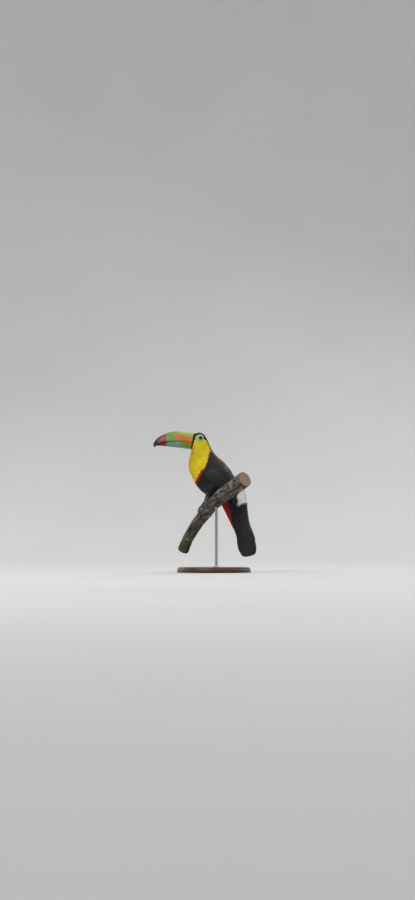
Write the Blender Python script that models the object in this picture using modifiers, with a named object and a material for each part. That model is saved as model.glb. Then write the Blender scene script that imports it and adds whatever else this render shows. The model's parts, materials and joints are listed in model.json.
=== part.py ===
"""A life-size keel-billed toucan, perched on a cut length of branch that a display stand holds.

Blender 4.5, metres, +Z up. The bird faces -Y, so its left side is +X. The origin is the centre of the
stand's underside. The tables below are in millimetres from PERCH_POINT, where the belly meets the branch.
"""

import math

import bmesh
import bpy
import numpy as np
from mathutils import Matrix, Vector

MM = 0.001
PERCH_POINT = Vector((-12.0, -27.0, 220.0)) * MM
GAP = 0.3 * MM

BODY_YAW = math.radians(12)  # the tail end is turned towards +X, the head is not
TAIL_TWIST = math.radians(46)
SIDES = 20

# Sections of head, neck, trunk and tail, each in the plane of its own two points:
# back y, back z, front y, front z, half width.
BODY = (
    (-32, 202.5, -40, 154, 19.5),
    (-20, 205.3, -42.5, 146, 20.5),
    (-9.5, 204, -44.5, 139, 22),
    (0, 196, -46.3, 131, 23),
    (8, 181, -48, 123, 24),
    (15, 165, -49.3, 115, 25.5),
    (25, 147, -50, 106, 28),
    (40, 130, -49.5, 95, 33),
    (59, 114, -45, 81, 39),
    (74, 95, -37, 65, 43),
    (88, 75, -27, 46, 44.5),
    (101, 58, -14, 30, 43),
    (113, 43, 4, 16, 39),
    (123, 26, 27, 3, 35),
    (129, 6, 49, -14, 32),
    (131, -16, 62, -36, 30),
    (133, -38, 73, -58, 29),
    (135, -60, 85, -80, 29),
    (135, -84, 101, -99, 30.5),
    (134, -108, 116, -114, 32.5),
    (134, -132, 124.5, -134.5, 34),
    (136.5, -152, 130.5, -153.5, 32),
    (138, -165, 133.5, -166, 23),
    (138.5, -171, 136, -171.6, 9),
)
HEAD_END, NECK_END, TRUNK_END, TAIL_END = 3.6, 6.7, 14.8, 23
TWIST_START, TWIST_END = 13, 20
YAW_START, YAW_END = 4, 9
SECTION_GAP = 0.045  # between two parts, as a share of the distance between two sections

# Upper half of the bill: ridge y, ridge z, cutting edge y, cutting edge z, half width.
BILL_UPPER = (
    (-32.3, 202.5, -37.2, 174, 19.5),
    (-45, 205, -48, 176, 18.6),
    (-58, 207.2, -60, 178, 17.4),
    (-72, 208.8, -73, 179, 16.4),
    (-86, 209.3, -86.5, 179, 15.4),
    (-99, 208.2, -100, 178.2, 14.4),
    (-112, 205.2, -113, 177, 13.2),
    (-125, 200.3, -125, 175.2, 11.6),
    (-137, 194, -135, 172.5, 9.6),
    (-147, 186, -143, 169, 7.4),
    (-154, 177.5, -148.5, 165.5, 5.2),
    (-157.5, 170, -151.5, 162.5, 3.4),
    (-157.5, 163.5, -153.8, 160.3, 1.6),
)
# Lower half: keel y, keel z, cutting edge y, cutting edge z, half width.
BILL_LOWER = (
    (-40.3, 154.2, -37.2, 174, 18.5),
    (-52, 156, -48, 176, 17.4),
    (-64, 158, -60, 178, 16),
    (-76.5, 159.6, -73, 179, 14.6),
    (-89, 161, -86.5, 179, 13.4),
    (-101.5, 162.4, -100, 178.2, 12.2),
    (-114, 163.8, -113, 177, 10.8),
    (-126, 165, -125, 175.2, 9),
    (-137, 166, -135, 172.5, 6.8),
    (-144, 165.4, -142.2, 169.3, 4),
    (-147.4, 165.3, -146.6, 167.2, 1.6),
)
BILL_ARCH, KEEL_ARCH = (1.8, 0.9), (2.2, 0.8)  # how each half narrows from its cutting edge

EYE = Vector((14.2, -13.7, 187.6))
EYE_RADIUS = 6.2

# The folded wing lies on the trunk between these sections, and these angles from the back's midline.
WING_START, WING_END = 7.3, 14.5
WING_TOP, WING_BOTTOM = math.radians(22), math.radians(106)
WING_TIP = math.radians(80)
WING_THICK, WING_EDGE = 5.5, 1.0
WING_ROWS, WING_COLUMNS = 18, 8

# The branch: x, y, z and radius along its middle.
PERCH = (
    (-112, -68, -152, 17.5),
    (-84, -49, -112, 17.5),
    (-50, -23, -70, 18.2),
    (-14, 6, -33, 19.5),
    (24, 27, -9, 20.5),
    (66, 48, 8, 21.5),
    (106, 72, 24, 22.5),
    (138, 96, 41, 23.5),
    (162, 118, 57, 23.5),
)
PERCH_RINGS = 24

FEET = {"left": 3.7, "right": 2.95}  # where each foot stands along PERCH
HIPS, HIP_AT = {"left": Vector((33, 30, 42)), "right": Vector((-18, 40, 38))}, 12
THIGH_BOW = {"left": 14, "right": 0}  # how far the thigh bows outwards
THIGH_RADII = (17, 24, 25, 23, 18, 12.5, 8)
PALM = Vector((8, 6, 4.6))  # along the branch, across it, and off it
SHANK_RADIUS, SHANK_LIFT, SHANK_REACH = 3.4, 1, 20
# Each toe: its number, which way it points, how far out it starts, how many degrees it wraps round
# the branch, and how far it spreads outwards.
TOES = ((2, 1, -4.6, 68, -5), (3, 1, 4.6, 98, 6), (1, -1, -4.4, 52, -5), (4, -1, 4.6, 88, 6))
TOE_OVERLAP = 12  # degrees that a toe starts behind the middle of the palm
TOE_RADIUS, TOE_TIP_RADIUS = 3.7, 2.8
CLAW_GAP, CLAW_WRAP, CLAW_RADIUS, CLAW_TIP_RADIUS = 2.3, 25, 2.2, 0.45
TOE_CLEARANCE = 0.5
FOOT_ROOM, BELLY_ROOM = 11, 1  # how far the belly keeps off the branch, over a foot and elsewhere
FOOT_ROOM_FULL, FOOT_ROOM_END = 0.26, 0.55  # where that room starts to close, along PERCH

BASE_RADIUS, BASE_THICK, BASE_EDGE = 112 * MM, 16 * MM, 3 * MM
ROD_RADIUS, ROD_SINK = 4 * MM, 7 * MM
ROD_ALONG = 4.35  # along PERCH
ROD_REACH = 10 * MM  # how far the rod goes up into the branch

COLOURS = {
    "feather_black": (0.012, 0.011, 0.012, 0.45, 0),
    "feather_yellow": (0.75, 0.6, 0.03, 0.7, 0),
    "bill": (0.22, 0.4, 0.04, 0.3, 0),
    "eye": (0.03, 0.03, 0.01, 0.05, 0),
    "leg": (0.12, 0.25, 0.36, 0.5, 0),
    "claw": (0.03, 0.03, 0.035, 0.35, 0),
    "bark": (0.12, 0.1, 0.07, 0.9, 0),
    "stand_wood": (0.05, 0.028, 0.016, 0.35, 0),
    "stand_metal": (0.35, 0.34, 0.32, 0.3, 1),
}


def smooth_row(table, at):
    """The table's row at a fractional place, along a Catmull-Rom curve through its rows."""
    rows = np.array(table, float)
    i = int(min(max(math.floor(at), 0), len(rows) - 2))
    f = at - i
    before, a, b = rows[max(i - 1, 0)], rows[i], rows[i + 1]
    after = rows[min(i + 2, len(rows) - 1)]
    return 0.5 * (
        2 * a
        + (b - before) * f
        + (2 * before - 5 * a + 4 * b - after) * f**2
        + (3 * a - before - 3 * b + after) * f**3
    )


def ease(value, low, high):
    f = min(max((value - low) / (high - low), 0.0), 1.0)
    return f * f * (3 - 2 * f)


def turned(point, about, axis, angle):
    offset = point - about
    axis = axis.normalized()
    return about + (
        offset * math.cos(angle)
        + axis.cross(offset) * math.sin(angle)
        + axis * axis.dot(offset) * (1 - math.cos(angle))
    )


def middle(at):
    row = smooth_row(BODY, at)
    return Vector((0, row[0] + row[2], row[1] + row[3])) / 2


def posed(point, at):
    """A point of section `at` once the tail is twisted and the body turned, in metres."""
    twist = TAIL_TWIST * ease(at, TWIST_START, TWIST_END)
    point = turned(point, middle(at), middle(at + 0.5) - middle(at - 0.5), twist)
    yaw = -BODY_YAW * ease(at, YAW_START, YAW_END)
    return PERCH_POINT + turned(point, Vector(), Vector((0, 0, 1)), yaw) * MM


def body_point(at, angle, lift=0.0):
    """A point on section `at`, at this angle from the back round the left side, lifted off it."""
    back_y, back_z, front_y, front_z, half_width = smooth_row(BODY, at)
    arm = Vector((0, back_y - front_y, back_z - front_z)) / 2
    half_height = arm.length
    up, side = math.cos(angle), math.sin(angle)
    out = arm / half_height**2 * up + Vector((side / half_width, 0, 0))
    point = middle(at) + arm * up + Vector((side * half_width, 0, 0))
    return posed(point + out.normalized() * lift, at)


def material(name):
    found = bpy.data.materials.get(name)
    if found:
        return found
    made = bpy.data.materials.new(name)
    made.use_nodes = True
    shader = made.node_tree.nodes["Principled BSDF"]
    red, green, blue, roughness, metallic = COLOURS[name]
    shader.inputs["Base Color"].default_value = (red, green, blue, 1)
    shader.inputs["Roughness"].default_value = roughness
    shader.inputs["Metallic"].default_value = metallic
    made.diffuse_color = (red, green, blue, 1)
    return made


def collection(name):
    found = bpy.data.collections.get(name)
    if not found:
        found = bpy.data.collections.new(name)
        bpy.context.scene.collection.children.link(found)
    return found


def named(name, mesh, colour):
    """The node of this name, from a finished mesh."""
    mesh.name = name
    mesh.materials.clear()
    mesh.materials.append(material(colour))
    mesh.shade_smooth()
    mesh.set_sharp_from_angle(angle=math.radians(40))
    node = bpy.data.objects.new(name, mesh)
    collection("toucan").objects.link(node)
    return node


def loft(rings):
    """A closed mesh through rings of equally many points, with a flat cap on each end."""
    build = bmesh.new()
    loops = [[build.verts.new(point) for point in ring] for ring in rings]
    for one, two in zip(loops, loops[1:]):
        for k in range(len(one)):
            following = (k + 1) % len(one)
            build.faces.new((one[k], one[following], two[following], two[k]))
    build.faces.new(loops[0])
    build.faces.new(loops[-1])
    bmesh.ops.recalc_face_normals(build, faces=build.faces)
    mesh = bpy.data.meshes.new("loft")
    build.to_mesh(mesh)
    build.free()
    return mesh


def tube(points, radii, sides_resolution=3):
    """A mesh along the points, made from a bevelled curve whose radius follows radii."""
    curve = bpy.data.curves.new("tube", "CURVE")
    curve.dimensions = "3D"
    curve.bevel_depth = 1.0
    curve.bevel_resolution = sides_resolution
    curve.use_fill_caps = True
    line = curve.splines.new("POLY")
    line.points.add(len(points) - 1)
    for knot, point, radius in zip(line.points, points, radii):
        knot.co = (*point, 1)
        knot.radius = radius
    guide = bpy.data.objects.new("tube", curve)
    bpy.context.scene.collection.objects.link(guide)
    bpy.context.view_layer.update()
    graph = bpy.context.evaluated_depsgraph_get()
    mesh = bpy.data.meshes.new_from_object(guide.evaluated_get(graph))
    bpy.data.objects.remove(guide)
    build = bmesh.new()
    build.from_mesh(mesh)
    bmesh.ops.remove_doubles(build, verts=build.verts, dist=0.01 * MM)
    bmesh.ops.recalc_face_normals(build, faces=build.faces)
    build.to_mesh(mesh)
    build.free()
    return mesh


def ball(centre, axes, size, segments=16, rings=10):
    """A sphere's mesh, stretched to these three radii along these three axes."""
    build = bmesh.new()
    bmesh.ops.create_uvsphere(build, u_segments=segments, v_segments=rings, radius=1)
    columns = Matrix([axis * radius for axis, radius in zip(axes, size)]).transposed()
    bmesh.ops.transform(build, matrix=Matrix.Translation(centre) @ columns.to_4x4(), verts=build.verts)
    mesh = bpy.data.meshes.new("ball")
    build.to_mesh(mesh)
    build.free()
    return mesh


def cylinder(bottom, radius, depth, segments=40):
    build = bmesh.new()
    bmesh.ops.create_cone(
        build, cap_ends=True, segments=segments, radius1=radius, radius2=radius, depth=depth
    )
    bmesh.ops.translate(build, vec=bottom + Vector((0, 0, depth / 2)), verts=build.verts)
    mesh = bpy.data.meshes.new("cylinder")
    build.to_mesh(mesh)
    build.free()
    return mesh


def cutter(mesh, clearance=GAP):
    """A helper that cuts, made of the mesh swollen by the clearance."""
    helper = bpy.data.objects.new("cutter", mesh.copy())
    collection("cutters").objects.link(helper)
    helper.hide_render = True
    helper.display_type = "WIRE"
    if clearance:
        swell = helper.modifiers.new("swell", "DISPLACE")
        swell.mid_level = 0
        swell.strength = clearance
    return helper


def cut(node, *helpers):
    combine(node, "DIFFERENCE", helpers)


def combine(node, operation, helpers):
    for helper in helpers:
        step = node.modifiers.new(operation.lower(), "BOOLEAN")
        step.operation = operation
        step.solver = "EXACT"
        step.object = helper


def body_part(name, start, end, rings, colour):
    """The stretch of the body between two sections."""
    start += SECTION_GAP / 2
    end -= SECTION_GAP / 2 if end < TAIL_END else 0
    angles = [2 * math.pi * k / SIDES for k in range(SIDES)]
    places = [start + (end - start) * k / (rings - 1) for k in range(rings)]
    mesh = loft([[body_point(at, angle) for angle in angles] for at in places])
    return named(name, mesh, colour)


def head():
    node = body_part("head", 0, HEAD_END, 9, "feather_yellow")
    for side in (1, -1):
        cut(node, cutter(eye_mesh(side)))


def eye_mesh(side):
    centre = PERCH_POINT + Vector((EYE.x * side, EYE.y, EYE.z)) * MM
    return ball(centre, Matrix.Identity(3), [EYE_RADIUS * MM] * 3, 14, 8)


def bill_half(name, table, arch, gap_z):
    """One half of the bill. Its cutting edge stands gap_z off the mouth line."""
    exponent, fullness = arch
    heights = [1 - (1 - k / 6) ** 1.5 for k in range(7)]
    rings = []
    for k in range(2 * len(table) - 1):
        far_y, far_z, edge_y, edge_z, half_width = smooth_row(table, k / 2)
        edge = Vector((0, edge_y, edge_z + gap_z / MM))
        far = Vector((0, far_y, far_z))
        one_side = [
            (edge.lerp(far, t), half_width * max(1 - t**exponent, 0) ** fullness) for t in heights
        ]
        ring = [point + Vector((width, 0, 0)) for point, width in one_side]
        ring += [point - Vector((width, 0, 0)) for point, width in reversed(one_side[:-1])]
        rings.append([PERCH_POINT + point * MM - Vector((0, GAP, 0)) for point in ring])
    return named(name, loft(rings), "bill")


def wing(side, name):
    """A folded wing: a shell on the trunk, thickest along its middle and thin at its edges."""
    outer, inner = [], []
    for row in range(WING_ROWS):
        along = row / (WING_ROWS - 1)
        at = WING_START + (WING_END - WING_START) * along
        closing = ease(along, 0.15, 1.0)
        opening = math.sqrt(min(along / 0.22, 1.0))
        centre = WING_TOP + (WING_BOTTOM - WING_TOP) * 0.42
        half = (WING_BOTTOM - WING_TOP) / 2 * (0.45 + 0.55 * opening)
        centre += (WING_TIP - centre) * closing
        half *= 1 - 0.84 * closing
        outer_row, inner_row = [], []
        for column in range(WING_COLUMNS + 1):
            across = 2 * column / WING_COLUMNS - 1
            angle = side * (centre + half * across)
            bulge = (1 - across**2) * (1 - (2 * along - 1) ** 6)
            thick = WING_EDGE + (WING_THICK * (1 - 0.55 * along) - WING_EDGE) * bulge
            outer_row.append(body_point(at, angle, 0.8 + thick))
            inner_row.append(body_point(at, angle, 0.8))
        outer.append(outer_row)
        inner.append(inner_row)
    rings = [one + two[::-1] for one, two in zip(outer, inner)]
    return named(name, loft(rings), "feather_black")


def perch_frame(at):
    """(middle, along, up, forward, radius) of the branch at this place, in metres."""
    row = smooth_row(PERCH, at)
    centre = PERCH_POINT + Vector(row[:3]) * MM
    ahead, behind = smooth_row(PERCH, at + 0.05), smooth_row(PERCH, at - 0.05)
    along = Vector(ahead[:3] - behind[:3]).normalized()
    up = (Vector((0, 0, 1)) - along * along.z).normalized()
    return centre, along, up, along.cross(up) * -1, row[3] * MM


def round_perch(at, wrap, outwards, lift):
    """A point on the branch near `at`: `wrap` degrees forward of its top, `outwards` along it."""
    centre, along, up, forward, radius = perch_frame(at)
    angle = math.radians(wrap)
    spoke = up * math.cos(angle) + forward * math.sin(angle)
    return centre + along * outwards * MM + spoke * (radius + lift * MM)


def perch_mesh(start, end, rings, room=None):
    """The branch from one place to another, with this much room round it at each place."""
    points, radii = [], []
    for k in range(rings):
        at = start + (end - start) * k / (rings - 1)
        row = smooth_row(PERCH, at)
        points.append(PERCH_POINT + Vector(row[:3]) * MM)
        radii.append((row[3] + (room(at) if room else 0)) * MM)
    return tube(points, radii, 4)


def belly_room(at):
    """The room between belly and branch: more of it over each foot."""
    nearest = min(abs(at - foot) for foot in FEET.values())
    return FOOT_ROOM + (BELLY_ROOM - FOOT_ROOM) * ease(nearest, FOOT_ROOM_FULL, FOOT_ROOM_END)


def perch():
    node = named("perch", perch_mesh(0, len(PERCH) - 1, PERCH_RINGS), "bark")
    bottom, reach = rod_span()
    cut(node, cutter(cylinder(bottom, ROD_RADIUS + GAP, reach + GAP, 24), 0))


def trunk():
    """The trunk, hollowed where it sits on the branch and the feet."""
    node = body_part("trunk", NECK_END, TRUNK_END, 16, "feather_black")
    whole = node.data.copy()
    cut(node, cutter(perch_mesh(1.5, 7.5, 31, belly_room), 0))
    return whole


def rod_span():
    """The rod's lower end and its length. It ends inside the branch."""
    centre, _, up, _, radius = perch_frame(ROD_ALONG)
    bottom = Vector((centre.x, centre.y, BASE_THICK - ROD_SINK))
    underside = centre.z - radius / up.z
    return bottom, underside + ROD_REACH - bottom.z


def palm_centre(at):
    return round_perch(at, 0, 0, PALM.z + TOE_CLEARANCE)


def palm(at):
    _, along, up, forward, _ = perch_frame(at)
    return ball(palm_centre(at), (along, forward, up), PALM * MM, 14, 8)


def leg(side, name, whole_trunk):
    """The feathered thigh, the bare shank below it, the foot, and the claws."""
    at = FEET[name]
    _, _, up, _, _ = perch_frame(at)
    palm_top = palm_centre(at) + up * (PALM.z + SHANK_LIFT) * MM
    heel = palm_top + (up * 5 + Vector((0, 2, 3))) * MM
    hip = posed(HIPS[name], HIP_AT)
    last = len(THIGH_RADII) - 1
    knee = hip.lerp(heel, 0.5) + Vector((THIGH_BOW[name], 0, 0)) * MM
    knots = []
    for k in range(last + 1):
        f = k / last
        knots.append(hip * (1 - f) ** 2 + knee * 2 * f * (1 - f) + heel * f**2)
    thigh = named(
        f"thigh_{name}", tube(knots, [radius * MM for radius in THIGH_RADII], 4), "feather_black"
    )
    cut(thigh, cutter(whole_trunk), cutter(perch_mesh(1.5, 7.5, 31, belly_room), 0))

    reach = (hip - palm_top).normalized() * SHANK_REACH * MM
    shank_mesh = tube([palm_top, palm_top + reach], [SHANK_RADIUS * MM] * 2, 2)
    shank = named(f"shank_{name}", shank_mesh, "leg")
    cut(shank, cutter(palm(at)))
    for neighbour in (thigh, bpy.data.objects["trunk"]):
        cut(neighbour, cutter(shank_mesh))

    foot = named(f"foot_{name}", palm(at), "leg")
    for toe in TOES:
        combine(foot, "UNION", [cutter(toe_mesh(side, at, toe), 0)])
        claw(side, name, at, toe)


def toe_mesh(side, at, toe):
    _, direction, start, wrap, spread = toe
    points, radii = [], []
    for k in range(9):
        f = k / 8
        radius = TOE_RADIUS + (TOE_TIP_RADIUS - TOE_RADIUS) * f
        angle = direction * ((wrap + TOE_OVERLAP) * f - TOE_OVERLAP)
        outwards = side * (start + spread * f)
        points.append(round_perch(at, angle, outwards, radius + TOE_CLEARANCE))
        radii.append(radius * MM)
    return tube(points, radii, 2)


def claw(side, name, at, toe):
    number, direction, start, wrap, spread = toe
    points, radii = [], []
    for k in range(5):
        f = k / 4
        radius = CLAW_RADIUS + (CLAW_TIP_RADIUS - CLAW_RADIUS) * f**1.3
        arch = 1.6 * math.sin(math.pi * f)
        angle = direction * (wrap + CLAW_GAP + CLAW_WRAP * f)
        outwards = side * (start + spread)
        points.append(round_perch(at, angle, outwards, radius + TOE_CLEARANCE + arch))
        radii.append(radius * MM)
    named(f"claw_{name}_{number}", tube(points, radii, 1), "claw")


def stand():
    bottom, length = rod_span()
    named("stand_rod", cylinder(bottom, ROD_RADIUS, length, 24), "stand_metal")
    base = named("stand_base", cylinder(Vector(), BASE_RADIUS, BASE_THICK, 48), "stand_wood")
    edge = base.modifiers.new("edge", "BEVEL")
    edge.width = BASE_EDGE
    edge.segments = 2
    hole = cylinder(bottom - Vector((0, 0, GAP)), ROD_RADIUS + GAP, BASE_THICK, 24)
    cut(base, cutter(hole, 0))


def main():
    for obj in list(bpy.data.objects):
        bpy.data.objects.remove(obj)
    head()
    body_part("neck", HEAD_END, NECK_END, 7, "feather_yellow")
    whole_trunk = trunk()
    body_part("tail", TRUNK_END, TAIL_END, 18, "feather_black")
    bill_half("bill_upper", BILL_UPPER, BILL_ARCH, GAP)
    bill_half("bill_lower", BILL_LOWER, KEEL_ARCH, -GAP)
    perch()
    for side, name in ((1, "left"), (-1, "right")):
        named(f"eye_{name}", eye_mesh(side), "eye")
        cut(wing(side, f"wing_{name}"), cutter(perch_mesh(4, 7, 9, belly_room), 0))
        leg(side, name, whole_trunk)
    stand()


main()
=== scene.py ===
"""The looks of a life-size keel-billed toucan on its branch and stand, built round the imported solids.

Blender 4.5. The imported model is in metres. The tables below are the solids' own, in millimetres from
PERCH_POINT, where the belly meets the branch, so that skin and plumage follow the same surfaces.
Places on the body are (at, angle): a fractional section of BODY, and the angle from the back's midline
round the left side. The lie of the coat runs towards higher sections.
"""

import json
import math

import bpy
import numpy as np
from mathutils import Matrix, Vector
from mathutils.bvhtree import BVHTree
from mathutils.kdtree import KDTree

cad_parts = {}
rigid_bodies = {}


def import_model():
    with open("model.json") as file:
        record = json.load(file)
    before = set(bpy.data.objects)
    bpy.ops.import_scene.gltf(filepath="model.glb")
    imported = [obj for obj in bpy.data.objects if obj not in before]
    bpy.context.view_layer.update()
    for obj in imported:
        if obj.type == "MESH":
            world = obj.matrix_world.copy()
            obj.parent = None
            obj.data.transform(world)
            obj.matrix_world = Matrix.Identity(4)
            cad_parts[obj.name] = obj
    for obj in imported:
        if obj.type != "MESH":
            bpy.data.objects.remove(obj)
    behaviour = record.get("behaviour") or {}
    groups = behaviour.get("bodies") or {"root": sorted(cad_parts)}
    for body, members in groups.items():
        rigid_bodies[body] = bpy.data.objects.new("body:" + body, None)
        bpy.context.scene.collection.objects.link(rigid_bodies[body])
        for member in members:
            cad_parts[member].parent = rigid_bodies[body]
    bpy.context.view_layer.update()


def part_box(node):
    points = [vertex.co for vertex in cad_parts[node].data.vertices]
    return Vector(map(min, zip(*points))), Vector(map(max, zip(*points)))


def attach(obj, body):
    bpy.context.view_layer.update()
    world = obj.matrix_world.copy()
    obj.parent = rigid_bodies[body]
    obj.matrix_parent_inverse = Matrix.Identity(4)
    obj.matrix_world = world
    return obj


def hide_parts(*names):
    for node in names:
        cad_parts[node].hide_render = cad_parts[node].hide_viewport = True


MM = 0.001
PERCH_POINT = np.array((-12.0, -27.0, 220.0))
UP = np.array((0, 0, 1.0))
TURN = 2 * math.pi
SIDES = (("left", 1), ("right", -1))

BODY_YAW = math.radians(12)
TAIL_TWIST = math.radians(46)

# Sections of head, neck, trunk and tail: back y, back z, front y, front z, half width.
BODY = (
    (-32, 202.5, -40, 154, 19.5),
    (-20, 205.3, -42.5, 146, 20.5),
    (-9.5, 204, -44.5, 139, 22),
    (0, 196, -46.3, 131, 23),
    (8, 181, -48, 123, 24),
    (15, 165, -49.3, 115, 25.5),
    (25, 147, -50, 106, 28),
    (40, 130, -49.5, 95, 33),
    (59, 114, -45, 81, 39),
    (74, 95, -37, 65, 43),
    (88, 75, -27, 46, 44.5),
    (101, 58, -14, 30, 43),
    (113, 43, 4, 16, 39),
    (123, 26, 27, 3, 35),
    (129, 6, 49, -14, 32),
    (131, -16, 62, -36, 30),
    (133, -38, 73, -58, 29),
    (135, -60, 85, -80, 29),
    (135, -84, 101, -99, 30.5),
    (134, -108, 116, -114, 32.5),
    (134, -132, 124.5, -134.5, 34),
    (136.5, -152, 130.5, -153.5, 32),
    (138, -165, 133.5, -166, 23),
    (138.5, -171, 136, -171.6, 9),
)
HEAD_END, TRUNK_END, TAIL_END = 3.6, 14.8, 23
TWIST_START, TWIST_END = 13, 20
YAW_START, YAW_END = 4, 9

# Upper half of the bill: ridge y, ridge z, cutting edge y, cutting edge z, half width.
BILL_UPPER = (
    (-32.3, 202.5, -37.2, 174, 19.5),
    (-45, 205, -48, 176, 18.6),
    (-58, 207.2, -60, 178, 17.4),
    (-72, 208.8, -73, 179, 16.4),
    (-86, 209.3, -86.5, 179, 15.4),
    (-99, 208.2, -100, 178.2, 14.4),
    (-112, 205.2, -113, 177, 13.2),
    (-125, 200.3, -125, 175.2, 11.6),
    (-137, 194, -135, 172.5, 9.6),
    (-147, 186, -143, 169, 7.4),
    (-154, 177.5, -148.5, 165.5, 5.2),
    (-157.5, 170, -151.5, 162.5, 3.4),
    (-157.5, 163.5, -153.8, 160.3, 1.6),
)
# Lower half: keel y, keel z, cutting edge y, cutting edge z, half width.
BILL_LOWER = (
    (-40.3, 154.2, -37.2, 174, 18.5),
    (-52, 156, -48, 176, 17.4),
    (-64, 158, -60, 178, 16),
    (-76.5, 159.6, -73, 179, 14.6),
    (-89, 161, -86.5, 179, 13.4),
    (-101.5, 162.4, -100, 178.2, 12.2),
    (-114, 163.8, -113, 177, 10.8),
    (-126, 165, -125, 175.2, 9),
    (-137, 166, -135, 172.5, 6.8),
    (-144, 165.4, -142.2, 169.3, 4),
    (-147.4, 165.3, -146.6, 167.2, 1.6),
)
BILL_ARCH, KEEL_ARCH = (1.8, 0.9), (2.2, 0.8)  # exponent and fullness of each half's sections
GAP = 0.3  # between neighbouring solids

EYE = np.array((14.2, -13.7, 187.6))  # the left one's middle
EYE_RADIUS = 6.2

WING_START, WING_END = 7.3, 14.5
WING_TOP, WING_BOTTOM = math.radians(22), math.radians(106)
WING_TIP = math.radians(80)
WING_THICK, WING_EDGE = 5.5, 1.0
WING_OFF = 0.8  # how far the wing's inner side stands off the trunk

# The branch: x, y, z and radius along its middle.
PERCH = (
    (-112, -68, -152, 17.5),
    (-84, -49, -112, 17.5),
    (-50, -23, -70, 18.2),
    (-14, 6, -33, 19.5),
    (24, 27, -9, 20.5),
    (66, 48, 8, 21.5),
    (106, 72, 24, 22.5),
    (138, 96, 41, 23.5),
    (162, 118, 57, 23.5),
)
FEET = {"left": 3.7, "right": 2.95}  # the place along PERCH that each foot stands on
HIPS = {"left": np.array((33.0, 30, 42)), "right": np.array((-18.0, 40, 38))}  # before the body is turned
HIP_AT = np.array(12.0)
THIGH_BOW = {"left": 9, "right": 0}
HEEL_UP = 7  # how far above the palm the thigh ends
THIGH_RADII = (19.5, 22.5, 23, 20.5, 15.5, 9.8, 5.2)
THIGH_TOP, THIGH_TOP_RADIUS = 24, 7  # how far inside the trunk the thigh's plumage starts
PALM = np.array((8, 6, 4.6))  # half its size along the branch, forward and up
SHANK_RADIUS, SHANK_LIFT, SHANK_REACH = 3.4, 1, 20
# Each toe: its number, which way it points, how far out it starts, how far it wraps, how it spreads.
TOES = ((2, 1, -4.6, 68, -5), (3, 1, 4.6, 98, 6), (1, -1, -4.4, 52, -5), (4, -1, 4.6, 88, 6))
TOE_OVERLAP = 12
TOE_RADIUS, TOE_TIP_RADIUS = 3.7, 2.8
CLAW_GAP, CLAW_WRAP, CLAW_RADIUS, CLAW_TIP_RADIUS = 2.3, 25, 2.2, 0.3
TOE_CLEARANCE = 0.5

ROD_RADIUS = 4

# The plumage: section, gap between rows, gap in a row, feather length, width, and depth of the coat.
COAT = (
    (0, 1.2, 1.25, 3.6, 1.9, 0.8),
    (2, 1.35, 1.4, 4.6, 2.3, 1.0),
    (4, 1.8, 1.8, 7.5, 3.3, 1.6),
    (6.5, 2.2, 2.15, 11, 4.8, 2.2),
    (9, 2.6, 2.5, 14.5, 6.4, 2.6),
    (12, 3.0, 2.9, 19, 7.6, 2.9),
    (15, 4.0, 3.4, 27, 9.2, 3.1),
    (18, 5.0, 4.0, 31, 10.6, 2.4),
)
COAT_END = 18.6
TAIL_ROOT, TAIL_STACK = 14.1, 9.0  # where the tail feathers start, and the thickness they fill

# The rear and lower border of the yellow bib, seen from the side: z, then y.
BIB_Z = (50, 59.6, 76.8, 112.5, 136, 155, 173, 185, 193, 199)
BIB_Y = (-80, -33, -15.8, 4, 8, 13.3, 9.3, 1.5, -10, -80)
BAND_WIDTH, BAND_BOTTOM, BAND_TOP = 5.5, 57, 100  # the red band along the bib's lower border
# The other markings' limits: sections of BODY, y and z, and angles from the back's midline.
RIM_AT, RIM_Z = 0.16, 160  # the black line round the bill's base
CROWN_AT, CROWN_ANGLE = 3, 0.54
LORE_Y, LORE_Z = -24, 182.5
RUMP_START, RUMP_END, RUMP_ANGLE = 11.5, 13.75, 1.2
VENT_START, VENT_END, VENT_ANGLE = 12.7, 16.7, math.pi - 1.2

BLACK = np.array((0.0105, 0.0098, 0.0112))
MAROON_BLACK = np.array((0.026, 0.008, 0.0095))
YELLOW = np.array((0.74, 0.57, 0.018))
GOLDEN = np.array((0.64, 0.34, 0.014))
RED = np.array((0.46, 0.016, 0.011))
WHITE = np.array((0.78, 0.75, 0.69))
BARE_SKIN = np.array((0.33, 0.44, 0.10))
BARE_EDGE = np.array((0.25, 0.38, 0.20))
LID_SKIN = np.array((0.20, 0.33, 0.24))
LEG_BLUE = np.array((0.105, 0.185, 0.25))


# ---- surfaces -------------------------------------------------------------------------------------


def rows_at(table, at):
    """The table's rows at fractional places, along a Catmull-Rom curve through its rows."""
    rows = np.array(table, float)
    at = np.asarray(at, float)
    i = np.clip(np.floor(at).astype(int), 0, len(rows) - 2)
    f = (at - i)[..., None]
    before, a, b = rows[np.maximum(i - 1, 0)], rows[i], rows[i + 1]
    after = rows[np.minimum(i + 2, len(rows) - 1)]
    return 0.5 * (
        2 * a
        + (b - before) * f
        + (2 * before - 5 * a + 4 * b - after) * f**2
        + (3 * a - before - 3 * b + after) * f**3
    )


def ease(value, low, high):
    """0 up to `low`, 1 from `high`, and a smooth step between. It also runs down, with low above high."""
    f = np.clip((np.asarray(value, float) - low) / (high - low), 0, 1)
    return f * f * (3 - 2 * f)


def mix(one, two, share):
    """Colours or directions blended, from all of one at share 0 to all of two at 1."""
    share = np.asarray(share)[..., None]
    return one * (1 - share) + two * share


def unit(vectors):
    return vectors / np.maximum(np.linalg.norm(vectors, axis=-1, keepdims=True), 1e-9)


def square_to(vectors, along):
    """What is left of the vectors square to a unit direction."""
    return vectors - along * (vectors * along).sum(-1, keepdims=True)


def stacked(*values):
    """Coordinates of like or broadcast shape, as points."""
    return np.stack(np.broadcast_arrays(*values), -1)


def circle(count):
    """This many angles, evenly round a circle."""
    return np.arange(count) / count * TURN


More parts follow.
